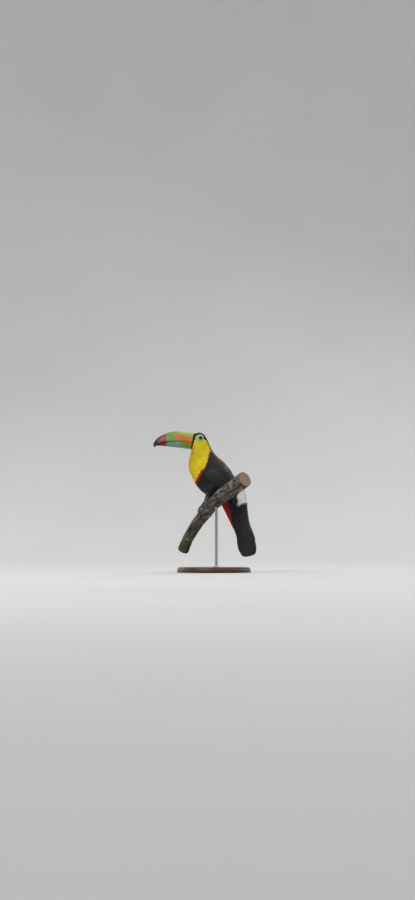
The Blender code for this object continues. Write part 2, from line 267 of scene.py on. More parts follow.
def spokes(up, side, angles):
    """Vectors at each angle from `up` towards `side`, for each point of a line."""
    return up[:, None] * np.cos(angles)[None, :, None] + side[:, None] * np.sin(angles)[None, :, None]


def heading(table, at, step=0.05):
    """The way a table's line runs: its move from a step before each place to a step past it."""
    return (rows_at(table, at + step) - rows_at(table, at - step))[..., :3]


def lengths_along(*coordinates):
    """How far along a line each of its points is."""
    steps = np.linalg.norm(np.diff(np.stack(coordinates, -1), axis=0), axis=-1)
    return np.concatenate(((0,), np.cumsum(steps)))


def turned(points, about, axis, angle):
    """The points turned by an angle about an axis through a point."""
    offset = points - about
    axis = unit(axis)
    angle = np.asarray(angle)[..., None]
    along = (offset * axis).sum(-1, keepdims=True)
    swung = offset * np.cos(angle) + np.cross(axis, offset) * np.sin(angle)
    return about + (swung + axis * along * (1 - np.cos(angle)))


def middle(at):
    """The middle of each section, before the body is posed."""
    row = rows_at(BODY, at)
    return np.stack((row[..., 0] * 0, row[..., 0] + row[..., 2], row[..., 1] + row[..., 3]), -1) / 2


def posed(points, at):
    """Points of sections `at` once the tail is twisted and the body turned."""
    twist = TAIL_TWIST * ease(at, TWIST_START, TWIST_END)
    points = turned(points, middle(at), middle(at + 0.5) - middle(at - 0.5), twist)
    yaw = -BODY_YAW * ease(at, YAW_START, YAW_END)
    return PERCH_POINT + turned(points, np.zeros(3), UP, yaw)


def section_point(at, angle, lift=0.0):
    """A point of the body before it is posed. A lift is square to the head and neck, and further
    back lies in the section's own plane, as the wings' solids do."""
    at, angle, lift = np.broadcast_arrays(np.asarray(at, float), angle, lift)
    back_y, back_z, front_y, front_z, half_width = np.moveaxis(rows_at(BODY, at), -1, 0)
    arm_y, arm_z = (back_y - front_y) / 2, (back_z - front_z) / 2
    centre_y, centre_z = (back_y + front_y) / 2, (back_z + front_z) / 2
    up, side = np.cos(angle), np.sin(angle)
    on = np.stack((side * half_width, centre_y + arm_y * up, centre_z + arm_z * up), -1)
    if not lift.any():
        return on
    squared = arm_y**2 + arm_z**2
    in_plane = unit(np.stack((side / half_width, arm_y / squared * up, arm_z / squared * up), -1))
    along = section_point(at + 0.01, angle) - on
    around = section_point(at, angle + 0.01) - on
    square = unit(np.cross(around, along))
    return on + unit(mix(in_plane, square, ease(at, 7, 5))) * lift[..., None]


def body_surface(at, angle, lift=0.0):
    at = np.asarray(at, float)
    points = section_point(at, angle, lift)
    return posed(points, np.broadcast_to(at, points.shape[:-1]))


def wing_spread(along):
    """The folded wing's middle angle and half spread, at a share of its length."""
    closing = ease(along, 0.15, 1.0)
    opening = np.sqrt(np.clip(along / 0.22, 0, 1))
    centre = WING_TOP + (WING_BOTTOM - WING_TOP) * 0.42
    half = (WING_BOTTOM - WING_TOP) / 2 * (0.45 + 0.55 * opening)
    return centre + (WING_TIP - centre) * closing, half * (1 - 0.84 * closing)


def wing_rise(along, across):
    """How far the wing's outer side stands off the trunk."""
    bulge = np.clip((1 - across**2) * (1 - (2 * along - 1) ** 6), 0, 1)
    rise = WING_OFF + WING_EDGE + (WING_THICK * (1 - 0.55 * along) - WING_EDGE) * bulge
    outside = np.maximum(np.abs(across) - 1, np.maximum(-along, along - 1) * 5)
    return rise * (1 - ease(outside, -0.04, 0.12))


def wing_place(at, angle):
    """(along, across) of the folded wing on that side, outside 0..1 and -1..1 where it isn't there."""
    along = (at - WING_START) / (WING_END - WING_START)
    centre, half = wing_spread(np.clip(along, 0, 1))
    return along, (np.abs(angle) - centre) / half


def outer_surface(at, angle, lift=0.0):
    """The body with the folded wings on it."""
    at, angle = np.broadcast_arrays(np.asarray(at, float), angle)
    return body_surface(at, angle, wing_rise(*wing_place(at, angle)) + lift)


def wing_surface(side):
    def surface(along, across, lift=0.0):
        along, across = np.broadcast_arrays(np.asarray(along, float), across)
        centre, half = wing_spread(np.clip(along, 0, 1))
        at = WING_START + (WING_END - WING_START) * along
        return body_surface(at, side * (centre + half * across), wing_rise(along, across) + lift)

    return surface


def tail_surface(at, sideways, layer):
    """A point of the tail's stack of feathers, from layer 1 on the back down to layer -1.

    The stack lies against the back, and fills the tail's whole thickness where the tail is thin."""
    row = rows_at(BODY, at)
    arm = np.stack((row[..., 0] * 0, row[..., 0] - row[..., 2], row[..., 1] - row[..., 3]), -1) / 2
    reach = np.linalg.norm(arm, axis=-1)
    arch = np.sqrt(np.clip(1 - (sideways / (row[..., 4] + 2)) ** 2, 0.05, 1))
    height = arch * (reach - (1 - layer) * np.minimum(reach, TAIL_STACK / 2))
    point = middle(at) + arm / reach[..., None] * height[..., None]
    point[..., 0] += sideways
    return posed(point, at)


def perch_frame(at):
    """(middle, along, up, forward, radius) of the branch at each place."""
    at = np.asarray(at, float)
    row = rows_at(PERCH, at)
    along = unit(heading(PERCH, at))
    up = unit(square_to(UP, along))
    return PERCH_POINT + row[..., :3], along, up, -np.cross(along, up), row[..., 3]


def round_perch(at, wrap, outwards, lift):
    """Points on the branch near `at`: `wrap` degrees forward of its top, `outwards` along it."""
    centre, along, up, forward, radius = perch_frame(at)
    angle = np.radians(np.asarray(wrap, float))[..., None]
    reach = radius + np.asarray(lift, float)
    spoke = up * np.cos(angle) + forward * np.sin(angle)
    return centre + along * np.asarray(outwards, float)[..., None] + spoke * reach[..., None]


def off_perch(points, clearance):
    """The points moved out of the branch, and how far outside its bark each was."""
    line = np.linspace(0, len(PERCH) - 1, 60)
    at = np.interp(points[..., 0], rows_at(PERCH, line)[:, 0] + PERCH_POINT[0], line)
    for _ in range(4):
        centre, along, _, _, _ = perch_frame(at)
        pace = np.linalg.norm(heading(PERCH, at), axis=-1) / 0.1
        at = np.clip(at + ((points - centre) * along).sum(-1) / pace, 0, len(PERCH) - 1)
    centre, along, _, _, radius = perch_frame(at)
    spoke = square_to(points - centre, along)
    reach = np.linalg.norm(spoke, axis=-1)
    push = np.maximum(radius + clearance - reach, 0)
    return points + unit(spoke) * push[..., None], reach - radius


def tube_surface(points, radii):
    """A surface (share of the length, angle, lift) round a line of points."""
    line = np.column_stack((points, radii))

    def surface(share, angle, lift=0.0):
        share, angle, lift = np.broadcast_arrays(np.asarray(share, float), angle, lift)
        place = share * (len(line) - 1)
        row = rows_at(line, place)
        along = unit(heading(line, place, 0.1))
        out = unit(np.cross(along, np.array((0, 1.0, 0.3))))
        other = np.cross(along, out)
        spoke = out * np.cos(angle)[..., None] + other * np.sin(angle)[..., None]
        return row[..., :3] + spoke * (row[..., 3] + lift)[..., None]

    return surface


def palm_centre(at):
    """The middle of the foot's ball on top of the branch."""
    return round_perch(at, 0, 0, PALM[2] + TOE_CLEARANCE)


def palm_top(at):
    """Where the shank starts."""
    _, _, up, _, _ = perch_frame(at)
    return palm_centre(at) + up * (PALM[2] + SHANK_LIFT)


def hip(name):
    """Where the thigh leaves the trunk."""
    return posed(HIPS[name], HIP_AT)


def thigh_line(name):
    at = FEET[name]
    heel = palm_top(at) + unit(hip(name) - palm_top(at)) * HEEL_UP
    knee = (hip(name) + heel) / 2 + np.array((THIGH_BOW[name], 0, 0))
    f = np.linspace(0, 1, len(THIGH_RADII))[:, None]
    return hip(name) * (1 - f) ** 2 + knee * 2 * f * (1 - f) + heel * f**2


def thigh_surface(name):
    """The thigh from inside the trunk, where it starts, to the heel."""
    line = thigh_line(name)
    top = line[:1] + unit(line[:1] - line[1:2]) * THIGH_TOP
    top[:, 0] += (PERCH_POINT[0] - top[:, 0]) * 0.25
    return tube_surface(np.concatenate((top, line)), (THIGH_TOP_RADIUS, *THIGH_RADII))


def ripples(points, size, seed, waves=24):
    """Smooth noise of about unit strength: random waves of about this length, in mm."""
    rng = np.random.default_rng(seed)
    reach = TURN / size * rng.uniform(0.6, 1.5, (waves, 1))
    directions = unit(rng.normal(size=(waves, points.shape[-1]))) * reach
    phase = rng.uniform(0, TURN, waves)
    return np.sin(points @ directions.T + phase).sum(-1) * math.sqrt(2 / waves)


def pace(surface, s, t):
    """Millimetres for each unit of s and of t."""
    step = 0.002
    along = surface(s + step, t) - surface(s - step, t)
    across = surface(s, t + step) - surface(s, t - step)
    return np.linalg.norm(along, axis=-1) / (2 * step), np.linalg.norm(across, axis=-1) / (2 * step)


# ---- meshes ---------------------------------------------------------------------------------------


def grid_faces(rows, columns, closed=False):
    """Quads over a grid of points, row by row. Closed joins the last column to the first."""
    across = columns if closed else columns - 1
    row, column = np.meshgrid(np.arange(rows - 1), np.arange(across), indexing="ij")
    one, two = row * columns + column, row * columns + (column + 1) % columns
    return np.stack((one, two, two + columns, one + columns), -1).reshape(-1, 4)


def ring_faces(rings):
    """Quads round a stack of closed rings."""
    return grid_faces(rings.shape[0], rings.shape[1], closed=True)


def repeated(faces, count, size):
    """The faces of one shape of `size` points, for `count` of them in a row."""
    return (faces[None] + np.arange(count)[:, None, None] * size).reshape(-1, 4)


def mesh_piece(name, points, faces, *materials):
    """A piece from points in mm and quads."""
    mesh = bpy.data.meshes.new(name)
    points = np.asarray(points, float).reshape(-1, 3)
    mesh.vertices.add(len(points))
    mesh.vertices.foreach_set("co", (points * MM).astype(np.float32).ravel())
    mesh.loops.add(faces.size)
    mesh.loops.foreach_set("vertex_index", faces.astype(np.int32).ravel())
    mesh.polygons.add(len(faces))
    mesh.polygons.foreach_set("loop_start", np.arange(0, faces.size, faces.shape[1], dtype=np.int32))
    mesh.update(calc_edges=True)
    mesh.shade_smooth()
    for material in materials:
        mesh.materials.append(material)
    piece = bpy.data.objects.new(name, mesh)
    bpy.context.scene.collection.objects.link(piece)
    return piece


def paint(piece, colours):
    """Stores a colour for each point."""
    mesh = piece.data
    layer = mesh.color_attributes.new("Coat", "FLOAT_COLOR", "POINT")
    flat = np.ones((len(mesh.vertices), 4), np.float32)
    flat[:, :3] = np.asarray(colours).reshape(-1, 3)
    layer.data.foreach_set("color", flat.ravel())
    mesh.attributes.default_color_name = layer.name
    mesh.attributes.active_color_name = layer.name


def map_points(piece, places, name):
    """Stores a UV map from one (u, v) for each point."""
    mesh = piece.data
    layer = mesh.uv_layers.new(name=name)
    index = np.empty(len(mesh.loops), np.int32)
    mesh.loops.foreach_get("vertex_index", index)
    layer.data.foreach_set("uv", np.asarray(places, np.float32).reshape(-1, 2)[index].ravel())


def settle(piece, slot, *nodes):
    """Attaches the piece to the root body, and hides the solids that it stands for. The slot is not used."""
    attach(piece, "root")
    if nodes:
        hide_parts(*nodes)
    return piece


def lathe(name, profile, material, centre, sides):
    """A turned piece from (radius, height) points, bottom to top."""
    radius, height = np.array(profile, float).T[..., None]
    points = centre + stacked(radius * np.cos(circle(sides)), radius * np.sin(circle(sides)), height)
    return mesh_piece(name, points, ring_faces(points), material)


# ---- materials ------------------------------------------------------------------------------------


class Finish:
    """A procedural material, and short ways to add nodes to it. Scales are per metre."""

    def __init__(self, name, **constants):
        self.material = bpy.data.materials.new(name)
        self.material.use_nodes = True
        self.tree = self.material.node_tree
        self.shader = self.tree.nodes["Principled BSDF"]
        for label, value in constants.items():
            self.shader.inputs[label.replace("_", " ")].default_value = value

    def node(self, kind, output, inputs, **settings):
        """The output of a new node. Its inputs, by name or number, are values or other outputs."""
        node = self.tree.nodes.new(f"ShaderNode{kind}")
        for label, value in settings.items():
            setattr(node, label, value)
        for label, value in inputs.items():
            if isinstance(value, bpy.types.NodeSocket):
                self.tree.links.new(value, node.inputs[label])
            else:
                node.inputs[label].default_value = value
        return node.outputs[output]

    def place(self, stretch=(1, 1, 1)):
        """The point on the piece, as it is at rest."""
        place = self.node("TexCoord", "Object", {})
        return self.node("Mapping", "Vector", {"Vector": place, "Scale": stretch})

    def uv(self, name):
        """A UV map of the piece."""
        return self.node("UVMap", "UV", {}, uv_map=name)

    def painted(self):
        """The colour that paint() stored."""
        return self.node("VertexColor", "Color", {}, layer_name="Coat")

    def noise(self, scale, detail=4, roughness=0.55, place=None):
        inputs = {"Scale": scale, "Detail": detail, "Roughness": roughness, "Vector": place or self.place()}
        return self.node("TexNoise", "Fac", inputs)

    def stripes(self, place, scale, distortion, detail):
        inputs = {"Vector": place, "Scale": scale, "Distortion": distortion, "Detail": detail}
        return self.node("TexWave", "Fac", inputs, bands_direction="X")

    def cells(self, scale, feature):
        return self.node("TexVoronoi", "Distance", {"Vector": self.place(), "Scale": scale}, feature=feature)

    def between(self, value, low, high, from_low=0.3, from_high=0.7):
        """The value's range from_low to from_high, spread over low to high."""
        inputs = {"Value": value, "From Min": from_low, "From Max": from_high, "To Min": low, "To Max": high}
        return self.node("MapRange", "Result", inputs)

    def blended(self, share, one, two, mode="MIX"):
        """One colour mixed with another."""
        one, two = (tone if isinstance(tone, bpy.types.NodeSocket) else (*tone, 1) for tone in (one, two))
        return self.node("Mix", 2, {0: share, 6: one, 7: two}, data_type="RGBA", blend_type=mode)

    def shaded(self, colour, value, low=0.8, high=1.15):
        """The colour made darker and lighter by a value."""
        factor = self.between(value, low, high)
        grey = self.node("CombineColor", "Color", {"Red": factor, "Green": factor, "Blue": factor})
        return self.blended(1.0, colour, grey, "MULTIPLY")

    def done(self, colour, roughness, *bumps):
        """The material, its shader given a colour, a roughness and bumps of (height, strength, mm)."""
        self.tree.links.new(colour, self.shader.inputs["Base Color"])
        self.tree.links.new(roughness, self.shader.inputs["Roughness"])
        normal = None
        for height, strength, distance in bumps:
            inputs = {"Height": height, "Strength": strength, "Distance": distance * MM}
            if normal:
                inputs["Normal"] = normal
            normal = self.node("Bump", "Normal", inputs)
        if normal:
            self.tree.links.new(normal, self.shader.inputs["Normal"])
        return self.material


def feather_material(name, roughness, strand_scale, **constants):
    """Painted plumage: strands and finer barbs in its tone and relief, by the Barb map in mm."""
    made = Finish(name, **constants)
    barb_map = made.uv("Barb")
    strands = made.stripes(barb_map, strand_scale, 2.6, 3)
    barbs = made.stripes(barb_map, strand_scale * 4, 1.2, 2)
    tone = made.shaded(made.painted(), made.noise(700), 0.88, 1.12)
    tone = made.shaded(tone, made.noise(60, 2), 0.88, 1.1)
    tone = made.shaded(tone, strands, 0.9, 1.08)
    rough = made.between(strands, roughness - 0.06, roughness + 0.06)
    return made.done(tone, rough, (strands, 0.32, 0.18), (barbs, 0.25, 0.08))


def skin_material():
    made = Finish("skin_under_plumage")
    tone = made.shaded(made.painted(), made.noise(400))
    return made.done(tone, made.between(made.noise(300), 0.65, 0.8), (made.noise(900), 0.4, 0.3))


def bare_skin_material():
    made = Finish("bare_eye_skin", Subsurface_Weight=0.12, Subsurface_Scale=0.002)
    grain = made.cells(1300, "F1")
    tone = made.shaded(made.painted(), made.noise(180), 0.72, 1.22)
    tone = made.shaded(tone, grain, 1.08, 0.86)
    rough = made.between(made.noise(500), 0.4, 0.58)
    return made.done(tone, rough, (grain, 0.4, 0.12), (made.noise(300), 0.25, 0.3))


def leg_material():
    made = Finish("leg_scales")
    seams = made.between(made.cells(1150, "DISTANCE_TO_EDGE"), 0, 1, 0, 0.16)
    tone = made.shaded(made.painted(), made.noise(260), 0.68, 1.26)
    tone = made.shaded(tone, seams, 0.74, 1.04)
    rough = made.between(made.noise(400), 0.42, 0.6)
    return made.done(tone, rough, (seams, 0.3, 0.14), (made.noise(1200), 0.2, 0.1))


def bill_material():
    made = Finish("bill_keratin", Coat_Weight=0.06, Coat_Roughness=0.3, Specular_IOR_Level=0.4)
    streaks = made.noise(520, 6, 0.6, made.place((1, 0.1, 1)))
    patches = made.noise(90, 6, 0.6)
    tone = made.shaded(made.painted(), streaks, 0.86, 1.14)
    tone = made.shaded(tone, patches, 0.84, 1.12)
    bumps = (streaks, 0.2, 0.2), (made.noise(1400, 2), 0.1, 0.05), (patches, 0.2, 0.6)
    return made.done(tone, made.between(streaks, 0.28, 0.44), *bumps)


def eye_material():
    made = Finish("eye_gloss", IOR=1.376)
    tone = made.shaded(made.painted(), made.noise(900), 0.75, 1.25)
    return made.done(tone, made.between(made.noise(200), 0.05, 0.09))


def claw_material():
    made = Finish("claw_horn", Coat_Weight=0.2)
    grain = made.noise(500, 5, place=made.place((1, 1, 0.4)))
    tone = made.blended(made.between(grain, 0, 1), (0.018, 0.018, 0.02), (0.075, 0.07, 0.066))
    return made.done(tone, made.between(grain, 0.28, 0.42), (grain, 0.2, 0.1))


def bark_material():
    """Grey-brown bark in lengthwise plates (by the Bark map, in mm), with lichen and a little moss."""
    made = Finish("bark")
    plates = made.node("Mapping", "Vector", {"Vector": made.uv("Bark"), "Scale": (0.035, 0.13, 1)})
    fissure = made.between(made.noise(1, 9, 0.62, plates), 0, 1, 0.42, 0.56)
    rough, fine = made.noise(130, 9, 0.7), made.noise(520, 6, 0.65)
    lichen = made.between(made.noise(34, 9, 0.68), 0, 0.8, 0.565, 0.60)
    moss = made.between(made.noise(17, 9, 0.7, made.place((1, 1.2, 0.9))), 0, 0.7, 0.53, 0.60)
    tone = made.blended(made.between(rough, 0, 1), (0.060, 0.047, 0.033), (0.21, 0.175, 0.13))
    tone = made.blended(fissure, (0.022, 0.016, 0.011), tone)
    tone = made.blended(lichen, tone, (0.30, 0.32, 0.26))
    tone = made.shaded(made.blended(moss, tone, (0.060, 0.078, 0.018)), fine, 0.65, 1.3)
    # The painted colour carries painted shade in the bark's deep fissures.
    tone = made.blended(1.0, tone, made.painted(), "MULTIPLY")
    bumps = (fissure, 0.8, 1.2), (rough, 0.7, 1.8), (fine, 0.7, 0.6)
    return made.done(tone, made.between(fine, 0.8, 0.96), *bumps)


def sawn_material():
    """End grain: uneven growth rings, by the Rings map's distance from the pith."""
    made = Finish("sawn_end")
    from_pith = made.node("SeparateXYZ", "X", {"Vector": made.uv("Rings")})
    inputs = {0: made.noise(45, 3), 1: 3.0, 2: from_pith}
    uneven = made.node("Math", "Value", inputs, operation="MULTIPLY_ADD")
    inputs = {"W": uneven, "Scale": 0.75, "Detail": 3, "Roughness": 0.7}
    rings = made.node("TexNoise", "Fac", inputs, noise_dimensions="1D")
    fine = made.noise(900, 5)
    tone = made.blended(made.between(rings, 0, 1, 0.35, 0.65), (0.17, 0.12, 0.075), (0.31, 0.235, 0.155))
    tone = made.blended(1.0, made.shaded(tone, fine, 0.75, 1.2), made.painted(), "MULTIPLY")
    return made.done(tone, made.between(fine, 0.7, 0.88), (rings, 0.3, 0.3), (fine, 0.5, 0.3))


def wood_material():
    made = Finish("stained_walnut", Coat_Weight=0.08, Coat_Roughness=0.3, Specular_IOR_Level=0.35)
    grain = made.noise(130, 7, 0.62, made.place((1, 0.09, 1)))
    figure = made.noise(26, 3, 0.5, made.place((1, 0.22, 1)))
    tone = made.blended(made.between(grain, 0, 1), (0.030, 0.0135, 0.0065), (0.105, 0.048, 0.020))
    tone = made.shaded(tone, figure, 0.6, 1.35)
    return made.done(tone, made.between(grain, 0.3, 0.46), (grain, 0.18, 0.2))


def metal_material():
    made = Finish("brushed_steel", Metallic=1.0)
    brushed = made.noise(900, 3, place=made.place((1, 1, 0.03)))
    tone = made.blended(made.between(made.noise(60, 3), 0, 1), (0.36, 0.35, 0.33), (0.46, 0.45, 0.43))
    tone = made.shaded(tone, brushed, 0.88, 1.08)
    return made.done(tone, made.between(brushed, 0.24, 0.40), (brushed, 0.1, 0.05))


def floor_material():
    made = Finish("studio_floor")
    cloud = made.noise(1.1, 2)
    tone = made.blended(made.between(cloud, 0, 1), (0.57, 0.57, 0.56), (0.60, 0.60, 0.59))
    return made.done(tone, made.between(cloud, 0.75, 0.85))


# ---- markings -------------------------------------------------------------------------------------


def markings(at, angle):
    """The plumage's colour at each place, and its kind: black, yellow, red or white."""
    place = section_point(at, angle)
    _, y, z = np.moveaxis(place, -1, 0)
    wobble = ripples(place, 9, 11)
    round_back = np.abs(angle)
    inside = np.interp(z, BIB_Z, BIB_Y) - y + wobble * 0.8
    rim = (at < RIM_AT) & (z > RIM_Z)
    crown = (round_back < CROWN_ANGLE) & (at < CROWN_AT)
    lore = (y < LORE_Y) & (z > LORE_Z + 0.5 * wobble)
    yellow = (inside > 0) & ~rim & ~crown & ~lore
    from_border = np.minimum(inside * 0.7, z - BAND_BOTTOM)
    band = yellow & (z < BAND_TOP) & (from_border < BAND_WIDTH + wobble * 0.5)
    white = (at > RUMP_START + 0.06 * wobble) & (at < RUMP_END + 0.08 * wobble)
    white &= round_back < RUMP_ANGLE + 0.05 * wobble
    vent = (at > VENT_START) & (at < VENT_END + 0.1 * wobble) & (round_back > VENT_ANGLE + 0.05 * wobble)
    along, across = wing_place(at, angle)
    on_wing = (along > 0) & (along < 1) & (np.abs(across) < 1.15)
    nape = ease(at, 3.5, 5.5) * ease(at, 10.5, 8) * ease(round_back, 1.5, 0.8)
    chin = ease(z, 132, 150) * ease(y, -30, -42)
    colour = mix(BLACK, MAROON_BLACK, nape)
    kind = np.full(at.shape, "black")
    for mask, tone, label in (
        (yellow, mix(YELLOW, GOLDEN, chin * 0.8), "yellow"),
        (band | (vent & ~on_wing), RED, "red"),
        (white & ~vent & ~on_wing, WHITE, "white"),
    ):
        colour = np.where(mask[..., None], tone, colour)
        kind = np.where(mask, label, kind)
    return colour, kind


def coat_sizes(at):
    """Gap between rows, gap in a row, length, width and depth of the coat at each section."""
    table = np.array(COAT)
    return [np.interp(at, table[:, 0], table[:, k]) for k in range(1, 6)]


# ---- feathers -------------------------------------------------------------------------------------


def feather_template(heights, widths, columns, barbs):
    """A vane of so many points across that ends in pointed barbs: along, across, barb number, faces."""
    line = np.linspace(-1, 1, columns)
    along = np.repeat(np.array(heights, float), columns)
    across = np.concatenate([line * width for width in widths])
    number = np.full(len(along), -1)
    faces = [grid_faces(len(heights), columns)]
    last = across[-columns:]
    centre, half_gap = (last[1:] + last[:-1]) / 2, (last[1:] - last[:-1]) / 2
    each = np.arange(columns - 1)
    left = len(along) - columns + each
    right = left + 1
    for reach, share in barbs:
        tip = reach - 0.17 * centre**2
        new_left = len(along) + each
        new_right = new_left + columns - 1
        along = np.concatenate((along, tip, tip))
        across = np.concatenate((across, centre * 1.04 - half_gap * share, centre * 1.04 + half_gap * share))
        number = np.concatenate((number, each, each))
        faces.append(np.stack((left, right, new_right, new_left), -1))
        left, right = new_left, new_right
    return along, across, number, np.concatenate(faces)


# Two kinds of small feather: the vane, how its size compares with COAT, how its tones vary between
# feathers, its painted shade at the root where the feathers over it cover it, and its material slot.
CONTOUR = {
    "vane": feather_template((0, 0.25, 0.5, 0.72, 0.89), (0.3, 0.8, 1.0, 0.94, 0.7), 7, ((1.0, 0.55),)),
    "size": (1, 1),
    "tones": (0.84, 1.16),
    "root_tone": 0.74,
    "slot": "feather_black",
}
SOFT = {
    "vane": feather_template((0, 0.3, 0.6), (0.35, 0.85, 1.0), 6, ((0.84, 0.7), (1.0, 0.16))),
    "size": (1.12, 1.1),
    "tones": (0.94, 1.06),
    "root_tone": 0.92,
    "slot": "feather_yellow",
}
# Painted shade along each small feather: darkest at the root, under the feathers over it, and TIP_TONE at
# the tip.
TIP_TONE = 1.08
BARB_WOBBLE, BARB_TRIM = 0.06, (-0.05, 0.03)  # how unevenly barbs are spread and end
BARB_SLANT = 0.9  # how far barbs run towards the tip for each mm from the shaft
FEATHER_YAW = 0.11  # how far feathers turn from the lie of the coat
TIP_LIFT = (0.02, 0.17)  # how far their tips stand off, as a share of the coat's depth
LOOK_AHEAD = 1.1  # how many lengths of surface each feather is measured along
TUFT_PATCH = 0.003  # each feather's patch of the bake map
BARK_CLEARANCE = 0.25


def along_surface(surface, at, angle, length, shares):
    """Where each feather's shares of its length lie along the surface."""
    steps = 6
    path = [at]
    for _ in range(steps):
        path.append(path[-1] + length / steps / pace(surface, path[-1], angle)[0])
    path = np.stack(path, -1)
    place = np.clip(shares, 0, 1) * steps
    i = np.minimum(place.astype(int), steps - 1)
    low, high = np.take_along_axis(path, i, -1), np.take_along_axis(path, i + 1, -1)
    return low + (high - low) * (place - i)


def lay_feathers(name, kind, material, surface, at, angle, sizes, colours, window):
    """One piece of the coat: a vane at each root, laid along the surface towards higher `at`.

    sizes are length, width and depth. window is the stretch of (at, angle) that the bake map unwraps."""
    rng = np.random.default_rng(len(at) * 7 + len(name))
    along, across, number, faces = kind["vane"]
    length, width, depth = (value[:, None] * share for value, share in zip(sizes, (*kind["size"], 1)))
    count = len(at)
    barbs = number.max() + 1
    # The last column, which number -1 picks, is for points that belong to no barb.
    wobble = np.column_stack((rng.normal(0, BARB_WOBBLE, (count, barbs)), np.zeros(count)))[:, number]
    trim = np.column_stack((rng.uniform(*BARB_TRIM, (count, barbs)), np.zeros(count)))[:, number]
    yaw = rng.normal(0, FEATHER_YAW, count)[:, None]
    reach = along * (1 + trim) * length
    side = (across + wobble) * width / 2
    pace_angle = pace(surface, np.maximum(at, 0), angle)[1][:, None]
    forward = (reach * np.cos(yaw) - side * np.sin(yaw)) / (length * LOOK_AHEAD)
    vertex_at = along_surface(surface, at, angle, length[:, 0] * LOOK_AHEAD, forward)
    vertex_angle = angle[:, None] + (reach * np.sin(yaw) + side * np.cos(yaw)) / pace_angle
    tip = (rng.uniform(*TIP_LIFT, count)[:, None] - 0.1 * (at[:, None] < 2)) * depth
    share = along**0.8
    lift = -depth * 0.94 * (1 - share) + tip * share - 0.16 * width * across**2 * (1 - 0.4 * along)
    points, _ = off_perch(surface(vertex_at, vertex_angle, lift), BARK_CLEARANCE)
    piece = mesh_piece(name, points, repeated(faces, count, len(along)), material)
    # Painted shade: each feather is painted darker towards its root, where the feathers over it cover it.
    root_tone = kind["root_tone"]
    tone = rng.uniform(*kind["tones"], count)[:, None] * (root_tone + (TIP_TONE - root_tone) * share)
    paint(piece, colours[:, None] * tone[..., None])
    (at_low, at_high), (angle_low, angle_high) = window
    root = stacked((angle - angle_low) / (angle_high - angle_low), (at - at_low) / (at_high - at_low))
    patch = stacked(across / 2, along - 0.5) * TUFT_PATCH
    map_points(piece, 0.01 + 0.98 * root[:, None] + patch, "OFBake")
    map_points(piece, stacked(reach - BARB_SLANT * np.abs(side), side), "Barb")
    return settle(piece, kind["slot"])


def head_place(y, z):
    """(at, angle) of the head's left side at these places in its side view."""
    at, angle = np.full(np.shape(y), 2.4), np.full(np.shape(y), 0.93)
    step = 0.01
    for _ in range(12):
        here = section_point(at, angle)[..., 1:]
        slope_at = (section_point(at + step, angle)[..., 1:] - here) / step
        slope_angle = (section_point(at, angle + step)[..., 1:] - here) / step
        miss = np.stack((y, z), -1) - here
        move = np.linalg.solve(np.stack((slope_at, slope_angle), -1), miss[..., None])[..., 0]
        at = np.clip(at + np.clip(move[..., 0], -0.5, 0.5), -0.15, 5)
        angle = np.clip(angle + np.clip(move[..., 1], -0.3, 0.3), 0.3, 2.6)
    return at, angle


BARE_REACH = {"back": 10.8, "down": 11.4, "forward": 16.2, "up": 12.2}  # of the bare skin from the eye


def bare_reach(back, down):
    """How far the bare skin reaches from the eye's middle in each direction of the side view."""
    along = np.where(back > 0, BARE_REACH["back"], BARE_REACH["forward"])
    across = np.where(down > 0, BARE_REACH["down"], BARE_REACH["up"])
    return np.hypot(back, down) / np.maximum(np.hypot(back / along, down / across), 1e-9)


def bare_distance(at, angle):
    """Distance from the eye as a share of the bare skin's reach that way."""
    place = section_point(at, angle)
    back, down = place[..., 1] - EYE[1], EYE[2] - place[..., 2]
    return np.hypot(back, down) / bare_reach(back, down)


ROOT_PACE_AT = 0.12  # nearer the bill the sections bunch up, so rows keep the spacing from here
EYE_REGION_END = 5  # bare_distance means nothing past this section


def staggered(count, row, rng):
    """Uneven angles right round a row of feathers, every other row half a feather on."""
    return (np.arange(count) + 0.5 * (row % 2) + rng.uniform(-0.3, 0.3, count)) / count * TURN


def coat_roots(rng):
    """Root places in staggered rows from the bill's base to the tail."""
    places = []
    at, row = -0.12, 0
    ring = circle(64)
    while at < COAT_END:
        gap_along, gap_around = (float(value) for value in coat_sizes(at)[:2])
        pace_along, pace_around = pace(body_surface, np.full(64, max(at, ROOT_PACE_AT)), ring)
        count = int(pace_around.mean() * TURN / gap_around)
        angle = staggered(count, row, rng) - math.pi
        jitter = rng.uniform(-0.35, 0.35, count) * gap_along / pace_along.mean()
        places.append(np.stack((at + jitter, angle), -1))
        at += gap_along / (pace_along.mean() + pace_along.max()) * 2
        row += 1
    at, angle = np.concatenate(places).T
    return np.maximum(at, -0.14), angle


def is_clear(at, angle):
    """Where the coat grows: not under flight feathers, in the bark, or over the skin round the eyes."""
    along, across = wing_place(at, angle)
    upper_limit = -0.9 + 0.4 * ease(along, 0.62, 0.85)
    under_remiges = (along > 0.22) & (along < 1.0) & (across > upper_limit) & (across < 0.9)
    under_rectrices = (at > TAIL_ROOT) & (np.abs(angle) < np.interp(at, (17, 18.6), (1.0, 1.9)))
    _, off_bark = off_perch(body_surface(at, angle), 0)
    here = bare_distance(at, angle)
    leaving = bare_distance(at + 0.1, angle) > here
    ahead = np.minimum(bare_distance(at + 0.2, angle), bare_distance(at + 0.3, angle))
    near_eye = (here < np.where(leaving, 0.93, 1.0)) | (~leaving & (ahead < 0.98))
    return ~under_remiges & ~under_rectrices & (off_bark > -1.5) & ~(near_eye & (at < EYE_REGION_END))


